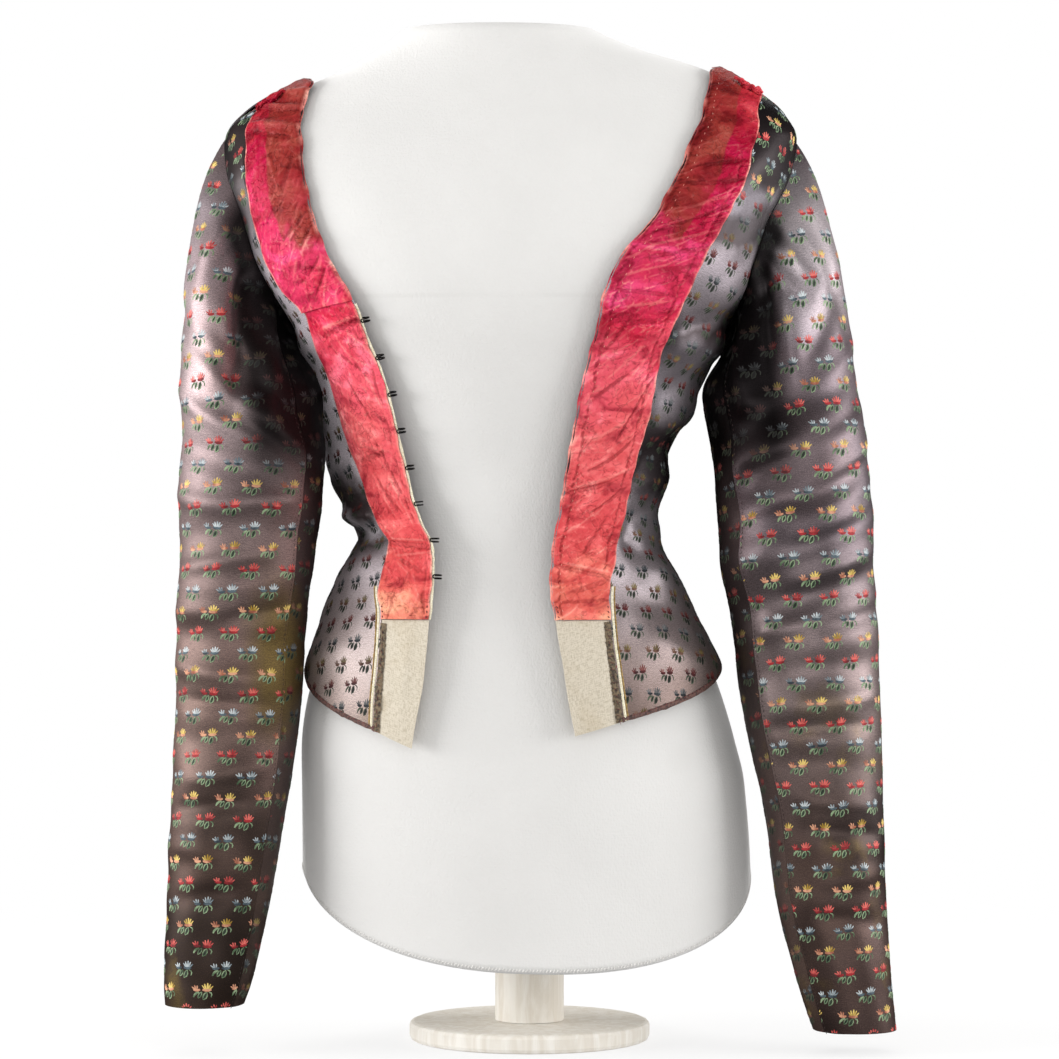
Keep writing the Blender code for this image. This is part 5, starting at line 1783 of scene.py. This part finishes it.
class GrowTree(NodeTree):  # a Geometry Nodes tree with inputs of its own
    def __init__(self, name, inputs):
        super().__init__(bpy.data.node_groups.new(name, "GeometryNodeTree"))
        self.socket("Geometry", "INPUT", "Geometry")
        self.sockets = {label: self.socket(label, "INPUT", kind) for label, kind in inputs.items()}
        self.socket("Geometry", "OUTPUT", "Geometry")
        self.given = self.tree.nodes.new("NodeGroupInput").outputs
        self.result = self.tree.nodes.new("NodeGroupOutput")

    def socket(self, label, way, kind):
        return self.tree.interface.new_socket(label, in_out=way, socket_type="NodeSocket" + kind).identifier

    def geo(self, kind, feeds=(), **settings):
        return self.node("GeometryNode" + kind, feeds, **settings).outputs[0]

    def named(self, name, kind):
        return self.geo("InputNamedAttribute", {"Name": name}, data_type=kind)

    def stored(self, geometry, name, value, kind):
        feeds = {"Geometry": geometry, "Name": name, "Value": value}
        return self.geo("StoreNamedAttribute", feeds, data_type=kind, domain="POINT")

    def drawn(self, low, high, **feeds):
        feeds = {2: low, 3: high, **feeds}
        return self.node("FunctionNodeRandomValue", feeds, data_type="FLOAT").outputs[1]

    def joined(self, parts):
        return self.node("ShaderNodeCombineXYZ", parts).outputs[0]

    def vectors(self, operation, feeds):
        return self.node("ShaderNodeVectorMath", feeds, operation=operation).outputs[0]

    def copies(self, points, shape, rotation):
        shape = self.node("GeometryNodeObjectInfo", {"Object": shape}, transform_space="ORIGINAL")
        feeds = {"Points": points, "Instance": shape.outputs["Geometry"], "Rotation": rotation}
        return self.geo("InstanceOnPoints", feeds)

    def finish(self, geometry, material):
        realized = self.geo("RealizeInstances", {"Geometry": geometry})
        painted = self.geo("SetMaterial", {"Geometry": realized, "Material": material})
        self.feed(self.result, 0, painted)

    def grow(self, helper, name, values):  # what the tree makes of a helper, as a plain mesh
        work = helper.modifiers.new(name, "NODES")
        work.node_group = self.tree
        for label, value in values.items():
            work[self.sockets[label]] = value
        mesh = plainMesh(helper, name)
        helper.modifiers.remove(work)
        for spare in ("off", "lay", "up"):
            if spare in mesh.attributes:
                mesh.attributes.remove(mesh.attributes[spare])
        mesh.materials.clear()
        return mesh


def sprigTree():
    made = GrowTree("sprigsOnBolt", {
        "Sprig": "Object", "Floss": "Material", "Columns": "Int", "Rows": "Int", "Column pitch": "Float",
        "Row step": "Float", "First row": "Int", "Rows between": "Int", "Jitter": "Float", "Turn": "Float",
        "Seed": "Int",
    })
    given = made.given
    index = made.geo("InputIndex")
    row = made.math("FLOOR", made.math("DIVIDE", index, given["Columns"]))
    column = made.math("SUBTRACT", index, made.times(row, given["Columns"]))
    trueRow = made.plus(made.times(row, given["Rows between"]), given["First row"])
    half = made.times(made.math("FLOORED_MODULO", trueRow, 2.0), 0.5)
    x = made.times(made.plus(column, half), given["Column pitch"])
    y = made.times(trueRow, given["Row step"])
    spot = made.plus(made.times(trueRow, 911.0), column)

    def wander(size, salt):
        return made.drawn(made.times(size, -1.0), size, ID=spot, Seed=made.plus(given["Seed"], float(salt)))

    cloud = made.geo("Points", {"Count": made.times(given["Columns"], given["Rows"])})
    place = made.joined({
        0: made.plus(x, wander(given["Jitter"], 1)),
        1: made.plus(y, wander(given["Jitter"], 2)),
    })
    spots = made.geo("SetPosition", {"Geometry": cloud, "Position": place})
    placed = made.copies(spots, given["Sprig"], made.joined({2: wander(given["Turn"], 3)}))
    flat = made.geo("RealizeInstances", {"Geometry": placed})
    position = made.geo("InputPosition")
    lay = made.named("lay", "FLOAT_VECTOR")

    def onCloth(value):
        feeds = {"Mesh": given["Geometry"], "Value": value, "Source UV Map": lay, "Sample UV": position}
        return made.node("GeometryNodeSampleUVSurface", feeds, data_type="FLOAT_VECTOR").outputs

    where = onCloth(position)
    outward = onCloth(made.geo("InputNormal"))["Value"]
    height = made.node("ShaderNodeSeparateXYZ", {0: position}).outputs[2]
    lifted = made.vectors("SCALE", {0: outward, "Scale": height})
    total = made.vectors("ADD", {0: where["Value"], 1: lifted})
    off = made.node("FunctionNodeBooleanMath", {0: where["Is Valid"]}, operation="NOT").outputs[0]
    marked = made.stored(flat, "off", off, "BOOLEAN")
    # the painted shade of the cloth, carried onto each sprig
    shaded = made.stored(marked, "dull", onCloth(made.named("dull", "FLOAT"))["Value"], "FLOAT")
    moved = made.geo("SetPosition", {"Geometry": shaded, "Position": total})
    stray = made.named("off", "BOOLEAN")
    kept = made.geo("DeleteGeometry", {"Geometry": moved, "Selection": stray}, domain="POINT")
    made.finish(kept, given["Floss"])
    return made


def makeSprigs():
    points, uv, faces, dull = (np.concatenate(bolt[part]) for part in ("points", "uv", "faces", "dull"))
    cloth = linked("boltOfSatin", meshOf("boltOfSatin", points, faces, uv))
    tinted(cloth.data, "dull", dull)
    tree = sprigTree()
    columns = math.ceil(bolt["reach"] / sprigPiece["columnPitch"]) + 1
    allRows = math.ceil(uv[:, 1].max() / sprigPiece["rowPitch"]) + 1
    for name, groups, kind, row in sprigKinds:
        between = sprigPiece["colourRows"] if row is not None else 1
        sprig = linked(name + "Shape", strokeMesh(name + "Shape", groups))
        mesh = tree.grow(cloth, name, {
            "Sprig": sprig, "Floss": floss[kind], "Columns": columns, "Rows": allRows // between + 1,
            "Column pitch": sprigPiece["columnPitch"], "Row step": sprigPiece["rowPitch"],
            "First row": row or 0, "Rows between": between,
            "Jitter": sprigPiece["jitter"], "Turn": sprigPiece["turn"], "Seed": sprigPiece["seed"],
        })
        bpy.data.objects.remove(sprig)
        asTrim(addObject(name, mesh, floss[kind]), "brocaded_satin", "frontRight", "frontLeft")
        print(name, len(mesh.polygons), "faces")
    bpy.data.objects.remove(cloth)


makeSprigs()
print("sprigs done")

# Stitches and loose threads along lines
Sewing = namedtuple("Sewing", "spacing length radius slant wander")
sewingKinds = {
    "ribbon": Sewing(6.4, 1.8, 0.2, 0.0, 0.3),
    "corner": Sewing(2.6, 1.6, 0.4, 0.5, 0.4),
    "seam": Sewing(3.4, 1.9, 0.2, 0.0, 0.1),
    "hem": Sewing(4.2, 1.6, 0.22, 0.35, 0.2),
    "fray": Sewing(4.4, 3.4, 0.16, 0.9, 1.1),
    "formHem": Sewing(2.3, 2.8, 0.3, 1.0, 0.12),
}


def stitchTree():
    made = GrowTree("stitchesOnLine", {
        "Stitch": "Object", "Thread": "Material", "Spacing": "Float",
        "Slant": "Float", "Wander": "Float", "Seed": "Int",
    })
    given = made.given
    curve = made.geo("MeshToCurve", {"Mesh": given["Geometry"]})
    spaced = made.geo("ResampleCurve", {"Curve": curve, "Length": given["Spacing"]}, mode="LENGTH")
    axes = {"Primary Axis": made.named("up", "FLOAT_VECTOR"), "Secondary Axis": made.geo("InputTangent")}
    facing = made.node("FunctionNodeAxesToRotation", axes, primary_axis="Z", secondary_axis="X").outputs[0]
    low = made.math("SUBTRACT", given["Slant"], given["Wander"])
    high = made.plus(given["Slant"], given["Wander"])
    turn = made.joined({2: made.drawn(low, high, Seed=given["Seed"])})
    feeds = {"Rotation": facing, "Rotate By": turn}
    turned = made.node("FunctionNodeRotateRotation", feeds, rotation_space="LOCAL").outputs[0]
    made.finish(made.copies(spaced, given["Stitch"], turned), given["Thread"])
    return made


def stitchShape(kind):
    share = np.linspace(-0.5, 0.5, 5)
    taper = (2 * share) ** 4
    line = np.stack([share * kind.length, np.zeros(5), (0.4 - 1.4 * taper) * kind.radius], axis=-1) * mm
    return closedMesh("stitch", *tube(line, kind.radius * mm * (1 - 0.5 * taper), 6))


sewingPiece = {
    "ribbonInset": 0.12,
    "cornerRows": slice(2, 12),
    "cornerInset": 2,
    "seamStart": 12,
    "hemOut": 2.3 * mm,
    "hemUp": 2.6 * mm,
    "frayOut": 0.6 * mm,
    "formUp": 2.2 * mm,
    "formPoints": 400,
}


def sewingLines():  # piece, kind, thread, slot, carriers, and its lines with their outward directions
    ribbon, ribbonOut = sheets["left", "left"]
    columns = ribbon.shape[1] - 1
    inset = round(sewingPiece["ribbonInset"] * columns)
    running = [(ribbon[:, inset], ribbonOut[:, inset])]
    corners, seams, hems, frays = [], [], [], []
    for name, piece in (("right", "rightLower"), ("left", "left")):
        rows = sewingPiece["cornerRows"]
        for column in (sewingPiece["cornerInset"], columns - sewingPiece["cornerInset"]):
            corners.append([grid[rows, column] for grid in sheets[name, piece]])
        for column in (-2, 1):
            seams.append([grid[sewingPiece["seamStart"] :, column] for grid in sheets[name, "sleeveTop"]])
        for panel, start in (("front", border), ("back", 0)):
            line, up = (grid[0, start:] for grid in sheets[name, panel])
            hems.append((line + up * sewingPiece["hemOut"] + np.array([0, 0, sewingPiece["hemUp"]]), up))
        line, sideways, up = borderLine(name)
        line = line + sideways * selvedgeStrips[-1].at * mm + up * sewingPiece["frayOut"]
        last = int(trimPiece["rows"] * bodyPiece["ribbonEnd"] / trimPiece["top"])
        frays.append((line[:last], up[:last]))
    angle = np.linspace(0, 2 * math.pi, sewingPiece["formPoints"])
    edge = formHem(angle) + sewingPiece["formUp"]
    formEdge = [(formPoint(angle, edge), formNormal(angle, edge))]
    fronts = ("frontRight", "frontLeft")
    sleeves = ("sleeveRightTop", "sleeveLeftTop")
    ribbons = ("ribbonRightLower", "ribbonLeft")
    return (
        ("ribbonStitches", "ribbon", "paleThread", "silk_ribbon", ("ribbonLeft",), running),
        ("ribbonCornerStitches", "corner", "redThread", "silk_ribbon", ribbons, corners),
        ("sleeveSeamStitches", "seam", "darkThread", "brocaded_satin", sleeves, seams),
        ("hemStitches", "hem", "redThread", "brocaded_satin", fronts, hems),
        ("selvedgeThreads", "fray", "redThread", "brocaded_satin", fronts, frays),
        ("formHemStitches", "formHem", "formThread", "form_cover", (), formEdge),
    )


def makeStitches():
    tree = stitchTree()
    for seed, (name, kind, thread, slot, carriers, lines) in enumerate(sewingLines()):
        sewing = sewingKinds[kind]
        edges, first = [], 0
        for line, _ in lines:
            edges += [(first + k, first + k + 1) for k in range(len(line) - 1)]
            first += len(line)
        mesh = bpy.data.meshes.new(name)
        mesh.from_pydata(np.concatenate([line for line, _ in lines]).tolist(), edges, [])
        ups = np.concatenate([up for _, up in lines])
        layer = mesh.attributes.new("up", "FLOAT_VECTOR", "POINT")
        layer.data.foreach_set("vector", ups.astype(np.float32).ravel())
        helper = linked(name + "Line", mesh)
        stitch = linked(name + "Shape", stitchShape(sewing))
        sewn = tree.grow(helper, name, {
            "Stitch": stitch, "Thread": threads[thread], "Spacing": sewing.spacing * mm,
            "Slant": sewing.slant, "Wander": sewing.wander, "Seed": seed,
        })
        for spare in (helper, stitch):
            bpy.data.objects.remove(spare)
        asTrim(addObject(name, sewn, threads[thread]), slot, *carriers)
        print(name, len(sewn.polygons), "faces")


makeStitches()
print("stitches done")

# Floor, light and world

Lamp = namedtuple("Lamp", "name place size power")
studio = {
    "lamps": rowsOf(
        Lamp,
        ("leftSoftbox", (-2.35, -0.35, 0.74), (2.0, 0.9), 64.0),
        ("rightSoftbox", (2.35, -0.35, 0.74), (2.0, 0.9), 50.0),
        ("frontFill", (0.0, -3.6, 0.5), (3.4, 1.2), 50.0),
        ("rearTop", (0.0, 2.0, 2.2), (2.2, 1.0), 12.0),
        ("clothFill", (0.0, -3.0, 1.3), (3.4, 1.6), 10.0),
    ),
    "aim": (0, 0, 0.36),
    "world": 0.74,
    "worldColour": (1.0, 0.99, 0.98, 1),
    "floorSize": 6.0,
    "floorColour": (0.9, 0.9, 0.9, 1),
    "floorDrop": 0.2 * mm,
    "floorFade": (0.25, 1.0, 0.72, 1.0),
    "floorRoughness": 0.9,
}


def makeWorld():  # white to the camera, and dimmer for the light that it casts
    world = bpy.data.worlds.new("studio")
    bpy.context.scene.world = world
    world.use_nodes = True
    world.cycles_visibility.glossy = False
    sky = NodeTree(world.node_tree)
    sky.tree.nodes.clear()
    camera = sky.node("ShaderNodeLightPath").outputs["Is Camera Ray"]
    dim = sky.node("ShaderNodeBackground", {"Color": studio["worldColour"], "Strength": studio["world"]})
    white = sky.node("ShaderNodeBackground", {"Color": (1, 1, 1, 1)})
    both = sky.node("ShaderNodeMixShader", {0: camera, 1: dim.outputs[0], 2: white.outputs[0]})
    sky.node("ShaderNodeOutputWorld", {"Surface": both.outputs[0]})


def makeLamps():
    for name, place, size, power in studio["lamps"]:
        data = bpy.data.lights.new(name, "AREA")
        data.shape = "RECTANGLE"
        data.size, data.size_y = size
        data.energy = power
        lamp = linked(name, data)
        lamp.location = place
        lamp.visible_glossy = name != "clothFill"
        lamp.visible_diffuse = name != "frontFill"
        x, y, z = np.array(studio["aim"]) - np.array(place)
        lamp.rotation_euler = (math.atan2(math.hypot(x, y), -z), 0, math.atan2(y, x) - math.pi / 2)


def makeFloor():
    look = Finish("paleFloor")
    share = look.span(look.distance(look.coordinates()), *studio["floorFade"])
    plain = look.node("ShaderNodeEmission", {"Strength": 1.0})
    look.set(Base_Color=studio["floorColour"], Roughness=studio["floorRoughness"])
    blend = look.node("ShaderNodeMixShader", {0: share, 1: look.shader.outputs[0], 2: plain.outputs[0]})
    look.feed(look.tree.nodes["Material Output"], "Surface", blend.outputs[0])
    half = studio["floorSize"] / 2
    corners = np.array([[-half, -half, 0], [half, -half, 0], [half, half, 0], [-half, half, 0]])
    floor = addObject("floor", meshOf("floor", corners, np.array([[0, 1, 2, 3]])), look.material)
    floor.location.z = -studio["floorDrop"]
    floor.visible_glossy = False
    floor.visible_diffuse = False


makeWorld()
makeLamps()
makeFloor()
bpy.context.scene.view_settings.view_transform = "Standard"
print("studio lit")

for made, cut in cloths.items():
    cut["flat"] = tuple(float(size) for size in cut["flat"])
